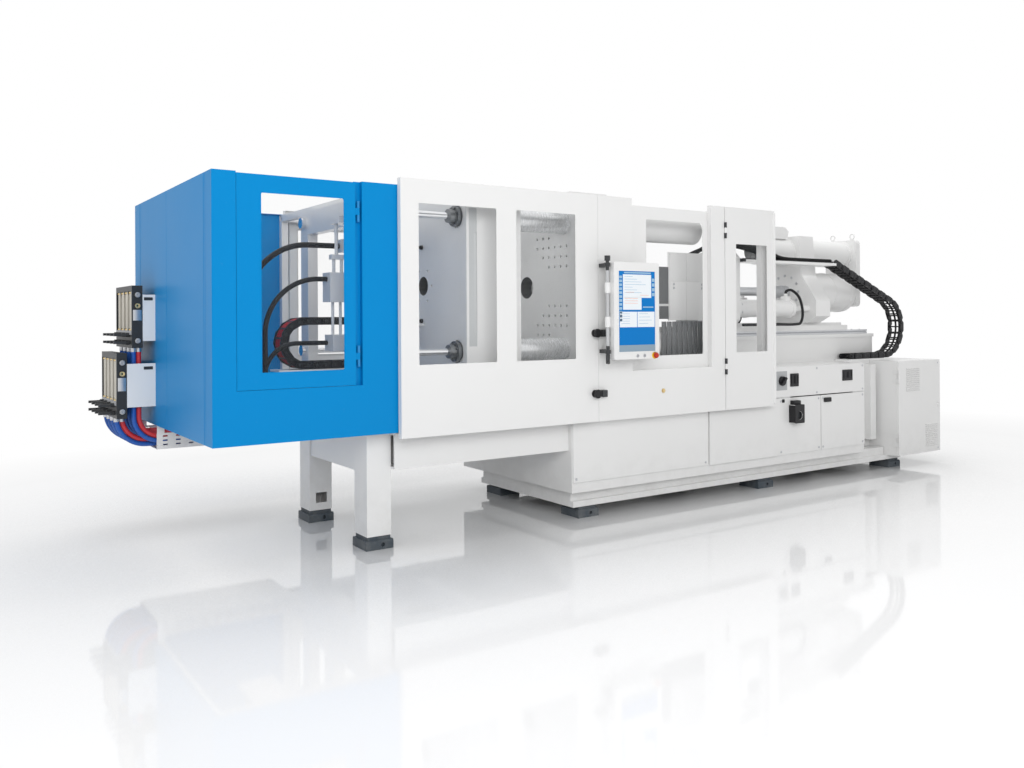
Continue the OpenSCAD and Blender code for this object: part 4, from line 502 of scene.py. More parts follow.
class Tree:
    """Builds one geometry node tree with named inputs."""

    def __init__(self, name, inputs):
        self.group = bpy.data.node_groups.new(name, "GeometryNodeTree")
        face = self.group.interface
        face.new_socket("Geometry", in_out="INPUT", socket_type="NodeSocketGeometry")
        for label, kind, value in inputs:
            made = face.new_socket(label, in_out="INPUT", socket_type=kind)
            if value is not None:
                made.default_value = value
        face.new_socket("Geometry", in_out="OUTPUT", socket_type="NodeSocketGeometry")
        self.input = self.group.nodes.new("NodeGroupInput")
        self.output = self.group.nodes.new("NodeGroupOutput")

    def node(self, kind, settings=None, values=None):
        made = self.group.nodes.new(kind)
        for key, value in (settings or {}).items():
            setattr(made, key, value)
        for key, value in (values or {}).items():
            if isinstance(value, bpy.types.NodeSocket):
                self.group.links.new(value, made.inputs[key])
            else:
                made.inputs[key].default_value = value
        return made.outputs[0]

    def given(self, label):
        return self.input.outputs[label]

    def times(self, socket, factor):
        return self.node("ShaderNodeMath", {"operation": "MULTIPLY"}, {0: socket, 1: factor})

    def join(self, *parts):
        both = self.group.nodes.new("GeometryNodeJoinGeometry")
        for part in parts:
            self.group.links.new(part, both.inputs[0])
        return both.outputs[0]

    def finish(self, geometry):
        solid = self.node("GeometryNodeRealizeInstances", None, {0: geometry})
        painted = self.node("GeometryNodeSetMaterial", None, {0: solid, 2: self.given("Material")})
        self.group.links.new(painted, self.output.inputs[0])
        return self.group


@cache
def fixings_tree():
    """A cap screw with its washer on every point, standing along the point's facing."""
    t = Tree("Fixings", [("Head radius", "NodeSocketFloat", 0.012), ("Head height", "NodeSocketFloat", 0.012),
                         ("Sides", "NodeSocketInt", 6), ("Material", "NodeSocketMaterial", None)])
    radius, height = t.given("Head radius"), t.given("Head height")
    head = t.node("GeometryNodeMeshCylinder", None,
                  {"Vertices": t.given("Sides"), "Radius": radius, "Depth": height})
    lift = t.node("ShaderNodeCombineXYZ", None, {"Z": t.times(height, 0.5)})
    raised = t.node("GeometryNodeTransform", None, {"Geometry": head, "Translation": lift})
    washer = t.node("GeometryNodeMeshCylinder", None,
                    {"Vertices": 16, "Radius": t.times(radius, 1.45), "Depth": t.times(height, 0.4)})
    facing = t.node("GeometryNodeInputNamedAttribute", {"data_type": "FLOAT_VECTOR"}, {"Name": "facing"})
    turn = t.node("FunctionNodeAlignRotationToVector", {"axis": "Z"}, {"Vector": facing})
    return t.finish(t.node("GeometryNodeInstanceOnPoints", None, {
        "Points": t.given("Geometry"), "Instance": t.join(raised, washer), "Rotation": turn}))


@cache
def conduit_tree():
    """A ribbed conduit along an edge path: rings at a fixed pitch on a core."""
    t = Tree("Ribbed conduit", [("Radius", "NodeSocketFloat", 0.012), ("Pitch", "NodeSocketFloat", 0.006),
                                ("Material", "NodeSocketMaterial", None)])
    radius, pitch = t.given("Radius"), t.given("Pitch")
    path = t.node("GeometryNodeMeshToCurve", None, {0: t.given("Geometry")})
    ring = t.node("GeometryNodeCurvePrimitiveCircle", None, {"Resolution": 12, "Radius": t.times(radius, 0.88)})
    core = t.node("GeometryNodeCurveToMesh", None, {0: path, 1: ring, "Fill Caps": True})
    points = t.node("GeometryNodeCurveToPoints", {"mode": "LENGTH"}, {"Curve": path, "Length": pitch})
    rib = t.node("GeometryNodeMeshCylinder", None,
                 {"Vertices": 12, "Radius": radius, "Depth": t.times(pitch, 0.5)})
    ribs = t.node("GeometryNodeInstanceOnPoints", None, {
        "Points": points, "Instance": rib, "Rotation": points.node.outputs["Rotation"]})
    return t.finish(t.join(core, ribs))


def run_tree(name, body, verts, edges, group, values, facing=()):
    """Runs a tree on a small mesh and keeps the result as a plain mesh."""
    mesh = bpy.data.meshes.new(name + "_seed")
    mesh.from_pydata([place(v) for v in verts], edges, [])
    if facing:
        layer = mesh.attributes.new("facing", "FLOAT_VECTOR", "POINT")
        for i, f in enumerate(facing):
            layer.data[i].vector = f
    seed = bpy.data.objects.new(name + "_seed", mesh)
    bpy.context.scene.collection.objects.link(seed)
    modifier = seed.modifiers.new("Build", "NODES")
    modifier.node_group = group
    for item in group.interface.items_tree:
        if item.in_out == "INPUT" and item.name in values:
            modifier[item.identifier] = values[item.name]
    bpy.context.view_layer.update()
    result = bpy.data.meshes.new_from_object(seed.evaluated_get(bpy.context.evaluated_depsgraph_get()))
    bpy.data.objects.remove(seed)
    result.name = name
    keep(name, result, body)


def fixings(name, body, spots, radius, height, sides=6, paint="steel"):
    """Cap screws at spots, each a point in millimetres and a direction."""
    values = {"Head radius": radius / 1000, "Head height": height / 1000, "Sides": sides,
              "Material": PAINTS[paint]}
    run_tree(name, body, [s[0] for s in spots], [], fixings_tree(), values, [s[1] for s in spots])


def conduit(name, body, paint, points, radius):
    path = smooth_path(points)
    edges = [(i, i + 1) for i in range(len(path) - 1)]
    values = {"Radius": radius / 1000, "Pitch": 0.009, "Material": PAINTS[paint]}
    run_tree(name, body, path, edges, conduit_tree(), values)


def circle_spots(centre, radius, count, facing, start=0.0):
    """Points round a circle that faces along the machine, each with its direction."""
    angles = [start + TAU * i / count for i in range(count)]
    x, y, z = centre
    return [((x, y + radius * math.cos(a), z + radius * math.sin(a)), facing) for a in angles]


# Settings


def colour_setting(name, description, default):
    return FloatVectorProperty(name=name, description=description, default=default, subtype="COLOR", size=3,
                               min=0, max=1)


class MachineColours(bpy.types.PropertyGroup):
    """Colours of the machine's finishes."""

    white: colour_setting("White enamel", "Guards, bed and injection unit", (0.79, 0.79, 0.785))
    blue: colour_setting("Blue enamel", "Clamp guard and service door", (0.0, 0.235, 0.575))
    casting: colour_setting("Platen metal", "Machined faces of the platens", (0.82, 0.825, 0.825))
    feet: colour_setting("Feet", "Levelling feet", (0.055, 0.07, 0.085))


class MachineSizes(bpy.types.PropertyGroup):
    """Sizes of the trim."""

    frame_width: FloatProperty(name="Window frame width", default=5.0, min=3, max=12,
                               description="Width of a window's frame in millimetres")
    bolt_radius: FloatProperty(name="Bolt radius", description="Radius of a flange bolt's head in millimetres",
                               default=11.0, min=6, max=18)
    camera_lens: FloatProperty(name="Lens", description="Focal length for the main view in millimetres",
                               default=31.71, min=15, max=80)
    floor_reach: FloatProperty(name="Floor reach", description="Half side of the floor", default=60.0, min=20,
                               max=200, unit="LENGTH")
    flange_bolts: IntProperty(name="Flange bolts", description="Bolts round a cylinder flange", default=8,
                              min=4, max=16)


def colours():
    return bpy.context.scene.moulding_colours


def sizes():
    return bpy.context.scene.moulding_sizes


# Operators


class MOULDING_OT_finishes(bpy.types.Operator):
    """Give every CAD node its finish"""

    bl_idname = "moulding.finishes"
    bl_label = "Finishes"

    def execute(self, context):
        c = colours()
        enamels = {
            "white": (c.white,),
            "blue": (c.blue, 0.42, 0.04, 0.12),
            "feet": (c.feet, 0.5, 0.0),
            "dark": (DARK, 0.4, 0.1),
            "grey": ((0.42, 0.43, 0.44), 0.4, 0.1),
            "barrel": ((0.17, 0.175, 0.18), 0.4, 0.1),
            # cover: a grey that stands for the shade in the moving platen's side recess, painted shade
            "cover": ((0.60, 0.615, 0.62), 0.4, 0.1),
            "sheet": ((0.88, 0.88, 0.875), 0.4, 0.1),
        }
        PAINTS.update({key: enamel(key + "_enamel", *values) for key, values in enamels.items()})
        display = {
            "pale": (0.76, 0.80, 0.83),
            "faint": (0.30, 0.47, 0.62),
            "warm": (0.80, 0.40, 0.30),
            "foot": (0.25, 0.33, 0.40),
        }
        PAINTS.update({key: glowing("display_" + key, colour) for key, colour in display.items()})
        PAINTS.update({
            "steel": machined("machined_steel", (0.62, 0.63, 0.65)),
            "bars": machined("ground_bar_steel", (0.80, 0.81, 0.82), 0.24, (30, 1, 1), 0.5),
            "glands": machined("gland_steel", (0.24, 0.25, 0.26), 0.3),
            "brass": machined("brass_fitting", (0.75, 0.58, 0.3), 0.28),
            "casting": platen_finish("platen_metal", c.casting, c.white, 81),
            # The moving platen's sides are grey as painted shade of its side recess, seen through the white
            # side sheets
            "moving": platen_finish("moving_platen_metal", c.casting, (0.56, 0.575, 0.58), 65.5),
            "hinges": hinge_paint("hinge_paint", c.blue, c.white),
            "chrome": chromed("hard_chrome"),
            "post": post_paint("post_paint"),
            "black": moulded("black_plastic", (0.012, 0.012, 0.014)),
            "dark_plastic": moulded("dark_plastic", (0.03, 0.032, 0.035)),
            "grey_plastic": moulded("grey_plastic", (0.35, 0.36, 0.38)),
            "red": moulded("red_plastic", (0.46, 0.03, 0.012), 0.35),
            "yellow": moulded("yellow_plastic", (0.85, 0.55, 0.02), 0.35),
            "cream": moulded("flow_tube_cream", (0.58, 0.55, 0.48), 0.35),
            # Dark strips under the louvre slats: painted shade in the openings under the hoods
            "louvre_slot_shade": moulded("louvre_slot_shadows", (0.12, 0.125, 0.13), 0.6),
            "rubber": rubbery("black_rubber", (0.012, 0.012, 0.013)),
            "hose": rubbery("hydraulic_hose", (0.014, 0.014, 0.016), 0.5),
            "red_hose": rubbery("red_chain_hose", (0.42, 0.012, 0.02), 0.45),
            # Dark backing behind the louvres: painted shade seen through their openings
            "louvre_backing_shade": rubbery("louvre_shade_backing", (0.03, 0.03, 0.032), 0.9),
            "water": two_colour_hoses("water_hose"),
            "clear": clear_sheet("clear_sheet"),
            "screen": glowing("lit_screen", (0.004, 0.17, 0.50)),
        })
        wear = {
            "blue": ["clamp_guard", "service_door", "pump_unit"],
            "feet": ["levelling_feet"],
            "hinges": ["guard_hardware"],
            "dark": ["ejector_cylinder"],
            "barrel": ["barrel", "barrel_cover"],
            "steel": ["bed_rails", "ejector_plate", "lock_jaws_near", "lock_jaws_far", "feed_block",
                      "screw"],
            "casting": ["fixed_platen"],
            "moving": ["moving_platen"],
            "chrome": ["piston_rods"],
            "bars": ["tie_bars"],
            "glands": ["rod_glands"],
            "post": ["panel_post"],
            "black": ["clamp_chain", "injection_chain", "gate_knobs", "main_switch"],
            "dark_plastic": ["water_manifolds"],
            "grey_plastic": ["reset_button", "start_button"],
            "red": ["stop_button"],
            "hose": ["clamp_hoses", "carriage_hoses"],
            "water": ["water_hoses"],
            "clear": ["gate_panes", "rear_gate_panes", "nozzle_guard_pane", "side_door_pane",
                      "service_door_pane"],
            "screen": ["panel_screen"],
        }
        finish_of = {n: k for k, names in wear.items() for n in names}
        for name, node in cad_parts.items():
            node.data.materials.clear()
            node.data.materials.append(PAINTS[finish_of.get(name, "white")])
        return {"FINISHED"}


class MOULDING_OT_window_frames(bpy.types.Operator):
    """Slim clamping frames round every window, in the colour of its door"""

    bl_idname = "moulding.window_frames"
    bl_label = "Window frames"

    def execute(self, context):
        width = sizes().frame_width

        def frame_round(name, body, colour, x, z, y):
            s = Shape()
            for a, b in zip(x[::2], x[1::2]):
                inner = rounded_outline((a + 1, z[0] + 1), (b - 1, z[1] - 1), 6)
                outer = rounded_outline((a - width, z[0] - width), (b + width, z[1] + width), 4)
                s.band(outer, inner, "y", y, y + 1)
            s.make(name, body, colour + "_paint", colour)

        frame_round("gate_window_frames", "gate", "white", *GATE_WINDOWS, -51)
        frame_round("rear_gate_window_frames", "rear_gate", "white", *GATE_WINDOWS, 1938)
        frame_round("nozzle_guard_window_frame", "nozzle_gate", "white", (3070, 3640), (1116, 2100), -11)
        frame_round("side_door_window_frame", "injection_door", "white", (3960, 4315), (1120, 1955), -51)
        frame_round("service_door_window_frame", "clamp_door", "blue", (267, 750), (1105, 2089), -1)
        return {"FINISHED"}


class MOULDING_OT_operator_panel(bpy.types.Operator):
    """Bezel, display fields, key strip and button rings of the operator panel"""

    bl_idname = "moulding.operator_panel"
    bl_label = "Operator panel"

    def execute(self, context):
        low, high = node_box("panel_screen")
        y = low.y
        w, h = high.x - low.x, high.z - low.z
        bezel = Shape()
        outer = rounded_outline((low.x - 9, low.z - 9), (high.x + 9, high.z + 9), 10)
        inner = rounded_outline((low.x + 2, low.z + 2), (high.x - 2, high.z - 2), 3)
        bezel.band(outer, inner, "y", y - 2.5, y)
        bezel.make("screen_bezel", "panel", "white_paint", "white")

        def fields(name, boxes, paint):
            """Fields from their left, lower, right and upper edges as parts of the screen."""
            s = Shape()
            for x0, z0, x1, z1 in boxes:
                s.slab((low.x + w * x0, low.z + h * z0), (low.x + w * x1, low.z + h * z1), 1.5, y - 1.2,
                       y - 0.1, steps=2)
            s.make(name, "panel", "screen_glass", paint)

        def lines(name, rows, paint):
            """Thin lines from their left end, height and right end."""
            s = Shape()
            for x0, z0, x1 in rows:
                s.slab((low.x + w * x0, low.z + h * z0 - 1.2), (low.x + w * x1, low.z + h * z0 + 1.2), 0.4,
                       y - 1.6, y - 1.1, steps=2)
            s.make(name, "panel", "screen_glass", paint)

        fields("display_windows", [(0.12, 0.668, 0.89, 0.955), (0.12, 0.52, 0.62, 0.67),
                                   (0.03, 0.305, 0.495, 0.495), (0.51, 0.305, 0.98, 0.495)], "pale")
        fields("display_foot", [(0.0, 0.0, 1.0, 0.085)], "foot")
        fields("display_tiles", [(0.02, 0.905 - 0.048 * i, 0.095, 0.937 - 0.048 * i) for i in range(12)]
               + [(0.915, 0.87 - 0.06 * i, 0.985, 0.91 - 0.06 * i) for i in range(4)]
               + [(0.15, 0.967, 0.88, 0.985), (0.66, 0.545, 0.95, 0.56)], "faint")
        lines("display_rules", [(0.16, 0.93 - 0.033 * i, 0.38 + 0.12 * (i * 5 % 4)) for i in range(7)]
              + [(0.07, 0.47 - 0.03 * i, 0.3 + 0.06 * (i * 3 % 3)) for i in range(5)]
              + [(0.55, 0.47 - 0.04 * i, 0.8 + 0.05 * (i % 3)) for i in range(4)], "faint")
        lines("display_readings", [(0.16, 0.66 - 0.03 * i, 0.52) for i in range(3)]
              + [(0.58, 0.70, 0.82), (0.2, 0.735, 0.42)], "warm")
        collar, rings = Shape(), Shape()
        for name, radius, into in (("stop_button", 25, collar), ("reset_button", 13, rings),
                                   ("start_button", 13, rings)):
            a, b = node_box(name)
            hole = 9.5 if into is collar else (b.x - a.x) / 2 + 0.6
            into.turned([(y, hole), (y - 2.5, hole), (y - 2.5, radius - 1), (y, radius)], "y",
                        ((a.x + b.x) / 2, 0, (a.z + b.z) / 2))
        collar.make("stop_collar", "panel", "red_plastic", "yellow")
        rings.make("button_rings", "panel", "machined_steel", "steel")
        return {"FINISHED"}


class MOULDING_OT_fixings(bpy.types.Operator):
    """Cap screws on flanges, covers and rails"""

    bl_idname = "moulding.fixings"
    bl_label = "Fixings"

    def execute(self, context):
        r = sizes().bolt_radius
        n = sizes().flange_bolts
        back, ahead, near, up = (1, 0, 0), (-1, 0, 0), (0, -1, 0), (0, 0, 1)
        spots = []
        for y in CYLINDER_YS:
            spots += circle_spots((4500, y, 1465), 81, n, back, start=0.39)
            spots += circle_spots((5200, y, 1465), 68, n, back, start=0.39)
        for y in (410, 990):
            spots += circle_spots((3220, y, 1490), 36, 4, ahead, start=0.78)
        spots += [((4470, AXIS_Y + side * 290, 1700 + k * 80), back) for side in (-1, 1) for k in range(3)]
        fixings("carriage_bolts", "carriage", spots, r * 0.75, r * 0.8)
        spots = circle_spots((DRIVE_X, AXIS_Y, AXIS_Z), 150, 12, ahead)
        spots += circle_spots((DRIVE_X, AXIS_Y, MOTOR_Z), 112, 8, ahead)
        spots += [((6345, AXIS_Y + side * 146, 1530 + k * 92), back) for side in (-1, 1) for k in range(7)]
        spots += [((6345, AXIS_Y + k * 60, z), back) for k in (-1, 0, 1) for z in (1511, 2104)]
        fixings("drive_bolts", "injection", spots, r * 0.8, r * 0.8)
        spots = [((x, y, 1265), up) for y in (510, 890) for x in range(3180, 6360, 120)]
        spots += [((x, BASE_Y, z), near) for x in (2470, 3720, 4590, 5074, 5130, 5680) for z in (286, 700)]
        spots += [((x, BASE_Y, z), near) for x in (4440, 5052, 5680) for z in (752, 956)]
        fixings("frame_screws", "frame", spots, 7, 5)
        spots = [((6750, -15, z), near) for z in (150, 950)]
        fixings("cabinet_screws", "cabinet_leaf", spots, 6, 4)
        return {"FINISHED"}


def chain_route(start, centre, radius, end_x):
    """Length of an energy chain and a function giving its place at a length from its start."""
    gap = math.hypot(centre[0] - start[0], centre[1] - start[1])
    heading = math.atan2(centre[1] - start[1], centre[0] - start[0]) + math.asin(radius / gap)
    run = math.sqrt(gap * gap - radius * radius)
    arc = radius * (heading + math.pi)

    def at(t):
        if t < run:
            return start[0] + t * math.cos(heading), start[1] + t * math.sin(heading)
        if t < run + arc:
            a = heading + math.pi / 2 - (t - run) / radius
            return centre[0] + radius * math.cos(a), centre[1] + radius * math.sin(a)
        return centre[0] - (t - run - arc), centre[1] - radius

    return run + arc + centre[0] - end_x, at


class MOULDING_OT_energy_chains(bpy.types.Operator):
    """Link pins of both energy chains and the cables inside them"""

    bl_idname = "moulding.energy_chains"
    bl_label = "Energy chains"

    def execute(self, context):
        pitch, half, step = 60, 70, 20
        chains = (
            ("injection", 1, 370, chain_route((5670, 1880), (6410, 1290), 270, 5880), 9, ("hose",) * 2),
            ("clamp", -1, 750, chain_route((-1340, 1384), (-782, 1242), 142, -1180), 19, ("red_hose",) * 3),
        )
        for name, way, y, (length, at), radius, lining in chains:
            spots = []
            for i in range(int(length // pitch) + 1):
                x, z = at(i * pitch)
                spots += [((way * x, y + side * half, z), (0, side, 0)) for side in (-1, 1)]
            fixings(name + "_chain_pins", "frame", spots, 7, 5, 12, "dark_plastic")
            route = [at(i * step) for i in range(1, int(length // step))]
            for k, paint in enumerate(lining):
                hose = Shape().tube([(way * x, y + (k - 1) * 38, z) for x, z in route], radius)
                hose.make(f"{name}_chain_hose_{k}", "frame", "hose_rubber", paint)
        return {"FINISHED"}


class MOULDING_OT_cables(bpy.types.Operator):
    """Ribbed conduits, cylinder hoses and their glands on the carriage"""

    bl_idname = "moulding.cables"
    bl_label = "Cables"

    def execute(self, context):
        for k, (x0, y0, y1, lift) in enumerate(((4040, 560, 345, 0), (3980, 590, 395, -14))):
            conduit(f"heater_conduit_{k}", "carriage", "rubber", [
                (x0, y0, 1780), (x0 + 10, y0 - 8, 1860), (4180, y0 - 90, 1975 + lift),
                (4441, y1 + 20, 2003 + lift), (4802, y1, 1941 + lift), (4990, y1, 1898), (5300, y1, 1893),
                (5640, y1, 1893)], 17)
            profile = [(1765, 0), (1765, 25), (1797, 25), (1805, 20), (1815, 17.5), (1815, 0)]
            gland = Shape().turned(profile, "z", (x0, y0, 0), 20)
            gland.make(f"conduit_gland_{k}", "carriage", "black_plastic", "black")
        # Each cylinder's hose loops outwards, clear of the thrust block at every pose
        loop = ((5152, 0, 1594), (5162, 3, 1620), (5200, 30, 1625), (5243, 75, 1560), (5256, 100, 1440),
                (5226, 107, 1345), (5150, 108, 1325), (4900, 108, 1325), (4560, 108, 1325), (4474, 108, 1325))
        for k, (y, side) in enumerate(zip(CYLINDER_YS, (-1, 1))):
            port = Shape().box((5120, y - 32, 1520), (5185, y + 32, 1572), 4)
            port.ring((1572, 1596), (0, 17), "z", (5152, y, 0), 6)
            port.make(f"cylinder_port_{k}", "carriage", "white_paint", "white")
            hose = Shape().tube(smooth_path([(px, y + side * out, pz) for px, out, pz in loop]), 12)
            hose.make(f"cylinder_hose_{k}", "carriage", "hose_rubber", "hose")
        return {"FINISHED"}


class MOULDING_OT_screw_motor_trim(bpy.types.Operator):
    """Cooling grille, rings, terminal box screws and leads of the screw motor"""

    bl_idname = "moulding.screw_motor_trim"
    bl_label = "Screw motor trim"

    def execute(self, context):
        centre = (0, AXIS_Y, MOTOR_Z)
        grille = Shape()
        for radius in range(18, 100, 13):
            grille.turned([(5015, radius), (5019.5, radius), (5019.5, radius + 6), (5015, radius + 6)],
                          "x", centre, 48)
        for i in range(6):
            a = TAU * i / 6
            spoke = [(5017, AXIS_Y + r * math.cos(a), MOTOR_Z + r * math.sin(a)) for r in (18, 100)]
            grille.tube(spoke, 2.4, 8)
        grille.make("fan_grille", "injection", "dark_paint", "dark")
        hub = Shape().turned([(5010, 0), (5010, 12), (5013, 15), (5019.5, 15), (5019.5, 0)], "x", centre)
        hub.make("fan_hub", "injection", "dark_paint", "black")
        rings = Shape()
        for x in (5140, 5430, 5700, 6230):
            rings.ring((x, x + 9), (125, 127.5), "x", centre, 64)
        for x in (5700, 5960, 6200):
            rings.ring((x, x + 12), (185, 188), "x", (0, AXIS_Y, AXIS_Z), 72)
        rings.make("drive_rings", "injection", "white_paint", "white")
        spots = [((x, y, 2211), (0, 0, 1)) for x in (5195, 5345) for y in (640, 760)]
        fixings("terminal_box_screws", "injection", spots, 6, 5)
        leads, glands = Shape(), Shape()
        for k in range(3):
            y = 645 + 55 * k
            path = [(5146, y, 2140), (5105, y, 2130), (5078, y, 2085), (5070, y, 2010 + 12 * k)]
            leads.tube(smooth_path(path), 9)
            glands.turned([(5120, 0), (5120, 14), (5140, 14), (5140, 19), (5158, 19), (5158, 0)], "x",
                          (0, y, 2139), 6)
        leads.make("motor_leads", "injection", "hose_rubber", "rubber")
        glands.make("lead_glands", "injection", "machined_steel", "brass")
        return {"FINISHED"}


class MOULDING_OT_manifold_trim(bpy.types.Operator):
    """Flow tubes, end plate fittings and hose fittings of the water manifolds"""

    bl_idname = "moulding.manifold_trim"
    bl_label = "Water manifold trim"

    def execute(self, context):
        # Name, the battery's x and z, and where its two hoses a circuit leave it
        batteries = (("upper", -142, -77, 1218, 1618, 16, -30), ("lower", -234, -173, 770, 1186, 14, 22))
        for name, x0, x1, z0, z1, hose_x, hose_y in batteries:
            sleeves, nuts, collars, dials = Shape(), Shape(), Shape(), Shape()
            middle = (x0 + x1) / 2
            for y in CIRCUIT_YS:
                sleeves.ring((z0 + 124, z1 - 52), (22, 23.5), "z", (middle - 8, y, 0), 28)
                sleeves.box((x0 - 0.5, y - 57, z0 + 112), (x0 + 5, y - 41, z1 - 38), 0.8)
                for z in (z0 + 112, z1 - 50):
                    nuts.ring((z, z + 10), (22, 27), "z", (middle - 8, y, 0), 6)
                for x in (x1 - hose_x, x1 - hose_x - 32):
                    collars.ring((z0 - 26, z0 - 1), (15, 17.5), "z", (x, y + hose_y, 0), 18)
            sleeves.make(name + "_flow_tubes", "frame", "grey_plastic", "cream")
            nuts.make(name + "_tube_nuts", "frame", "machined_steel", "brass")
            sill = Shape().box((x0 - 4, 1306, z0 + 84), (x1 - 8, 1784, z0 + 111))
            sill.make(name + "_manifold_sill", "frame", "grey_plastic", "grey_plastic")
            face = Shape().box((x0 + 6, 1287.5, z0 + 176), (x1 - 6, 1290, z1 - 156), 1)
            face.make(name + "_manifold_plate", "frame", "machined_steel", "steel")
            for z in (z0 + 46, z1 - 60):
                dials.turned([(1274, 17), (1271, 15), (1268, 9), (1270, 4), (1270, 0)], "y", (middle, 0, z), 24)
            dials.make(name + "_manifold_dials", "frame", "grey_plastic", "grey_plastic")
            gauge = Shape().turned([(1273.5, 0), (1272, 11), (1272, 15), (1273.5, 16)], "y",
                                   (middle, 0, z1 - 130), 24)
            gauge.make(name + "_manifold_gauge", "frame", "machined_steel", "brass")
            collars.make(name + "_hose_collars", "frame", "machined_steel", "steel")
        return {"FINISHED"}


class MOULDING_OT_base_fittings(bpy.types.Operator):
    """Socket cover, latches, switch plate and outlets on the machine base"""

    bl_idname = "moulding.base_fittings"
    bl_label = "Base fittings"

    def execute(self, context):
        cover = Shape()
        face = BASE_Y - 62
        outer = rounded_outline((4689, 517), (4807, 669), 8)
        cover.band(outer, circle_outline(4748, 580, 35), "y", face - 2.5, face + 1)
        cover.band(outer, rounded_outline((4690, 518), (4806, 668), 7), "y", face, BASE_Y)
        cover.box((4705, 6, 667), (4791, BASE_Y + 0.5, 701), 2)
        cover.make("socket_cover", "frame", "black_plastic", "black")
        profile = [(face + 18, 0), (face + 18, 29), (face + 3, 30), (face + 3, 33.5), (face + 22, 33),
                   (face + 22, 0)]
        flap = Shape().turned(profile, "y", (4748, 0, 580))
        flap.make("socket_face", "frame", "dark_plastic", "dark_plastic")
        latches = Shape()
        for low, high, radius, y0, y1, chamfer in (
                ((5139, 663), (5233, 701), 8, 37.5, BASE_Y, 1), ((5156, 672), (5216, 692), 4, 34.5, 38, 0),
                ((4602, 688), (4632, 716), 8, 42, BASE_Y, 1), ((4611, 698), (4623, 706), 2, 39, 43, 0)):
            latches.slab(low, high, radius, y0, y1, chamfer)
        latches.make("panel_latches", "frame", "black_plastic", "black")
        plate = Shape().band(rounded_outline((4533, 790), (4667, 945), 4), circle_outline(4600, 867, 15), "y",
                             46.2, BASE_Y)
        plate.make("switch_plate", "frame", "machined_steel", "grey")
        outlets = Shape()
        for x0, x1, z0, z1 in ((4706, 4808, 815, 922), (5394, 5530, 834, 928)):
            outlets.slab((x0, z0), (x1, z1), 5, 40, BASE_Y, 1.2)
            wide = x1 - x0
            for k in range(2):
                u0 = x0 + wide * (0.1 + 0.44 * k)
                u1 = u0 + wide * 0.36
                outlets.band(rounded_outline((u0, z0 + 22), (u1, z1 - 12), 4),
                             rounded_outline((u0 + 4, z0 + 26), (u1 - 4, z1 - 16), 3), "y", 36.5, 40.2)
        outlets.make("outlets", "frame", "black_plastic", "black")
        profile = [(-62, 0), (-62, 9), (-59, 12), (-54, 12), (-54, 16), (-50, 16), (-50, 0)]
        plug = Shape().turned(profile, "y", (3192, 0, 865), 24)
        plug.make("guard_lock", "frame", "machined_steel", "brass")
        return {"FINISHED"}


class MOULDING_OT_covers(bpy.types.Operator):
    """Dark backing and slat strips in the cabinet's louvres, painted shade in their openings, and sheets,
    pocket covers and ports of the moving platen, the covers grey as painted shade of its side recess
    """

    bl_idname = "moulding.covers"
    bl_label = "Covers"

    def execute(self, context):
        # A dark backing behind each louvre and a dark strip under each of its 12 slats are painted shade in the
        # openings under the hoods
        shade_backings, slot_shadows = Shape(), Shape()
        for x0, x1, z0, z1 in LOUVRES:
            shade_backings.box((x0 - 4, -11.5, z0 - 4), (x1 + 4, -4, z1 + 4), 1)
            step = (z1 - z0) / 12
            for i in range(12):
                z = z0 + step * i
                slot_shadows.box((x0 + 1, -15.6, z + step * 0.02), (x1 - 1, -14.2, z + step * 0.47), 0.3)
        shade_backings.make("louvre_shade_backings", "cabinet_leaf", "dark_plastic", "louvre_backing_shade")
        slot_shadows.make("louvre_slot_shadows", "cabinet_leaf", "grey_plastic", "louvre_slot_shade")
        # The pocket covers are grey as painted shade of the recess in the moving platen's side, which the white
        # sheets frame
        plates = Shape()
        for y in (131, 1265):
            plates.box((1704.5, y, 1290.5), (1979.5, y + 4, 1949.5), 1)
        plates.make("pocket_covers", "platen", "white_paint", "cover")
        sheets = Shape()
        for y in (122, 1275):
            sheets.band(rounded_outline((1646, 1032), (2068, 2208), 3),
                        rounded_outline((1664, 1214), (1724, 2108), 3), "y", y, y + 3)
        sheets.make("platen_side_sheets", "platen", "white_paint", "white")
        ports = Shape()
        for y, z in ((717, 1889), (721, 1378)):
            ports.turned([(1644, 17), (1632, 17), (1632, 12), (1622, 12), (1620, 9), (1620, 0)], "x",
                         (0, y, z), 6)
        ports.make("platen_ports", "platen", "black_plastic", "black")
        return {"FINISHED"}


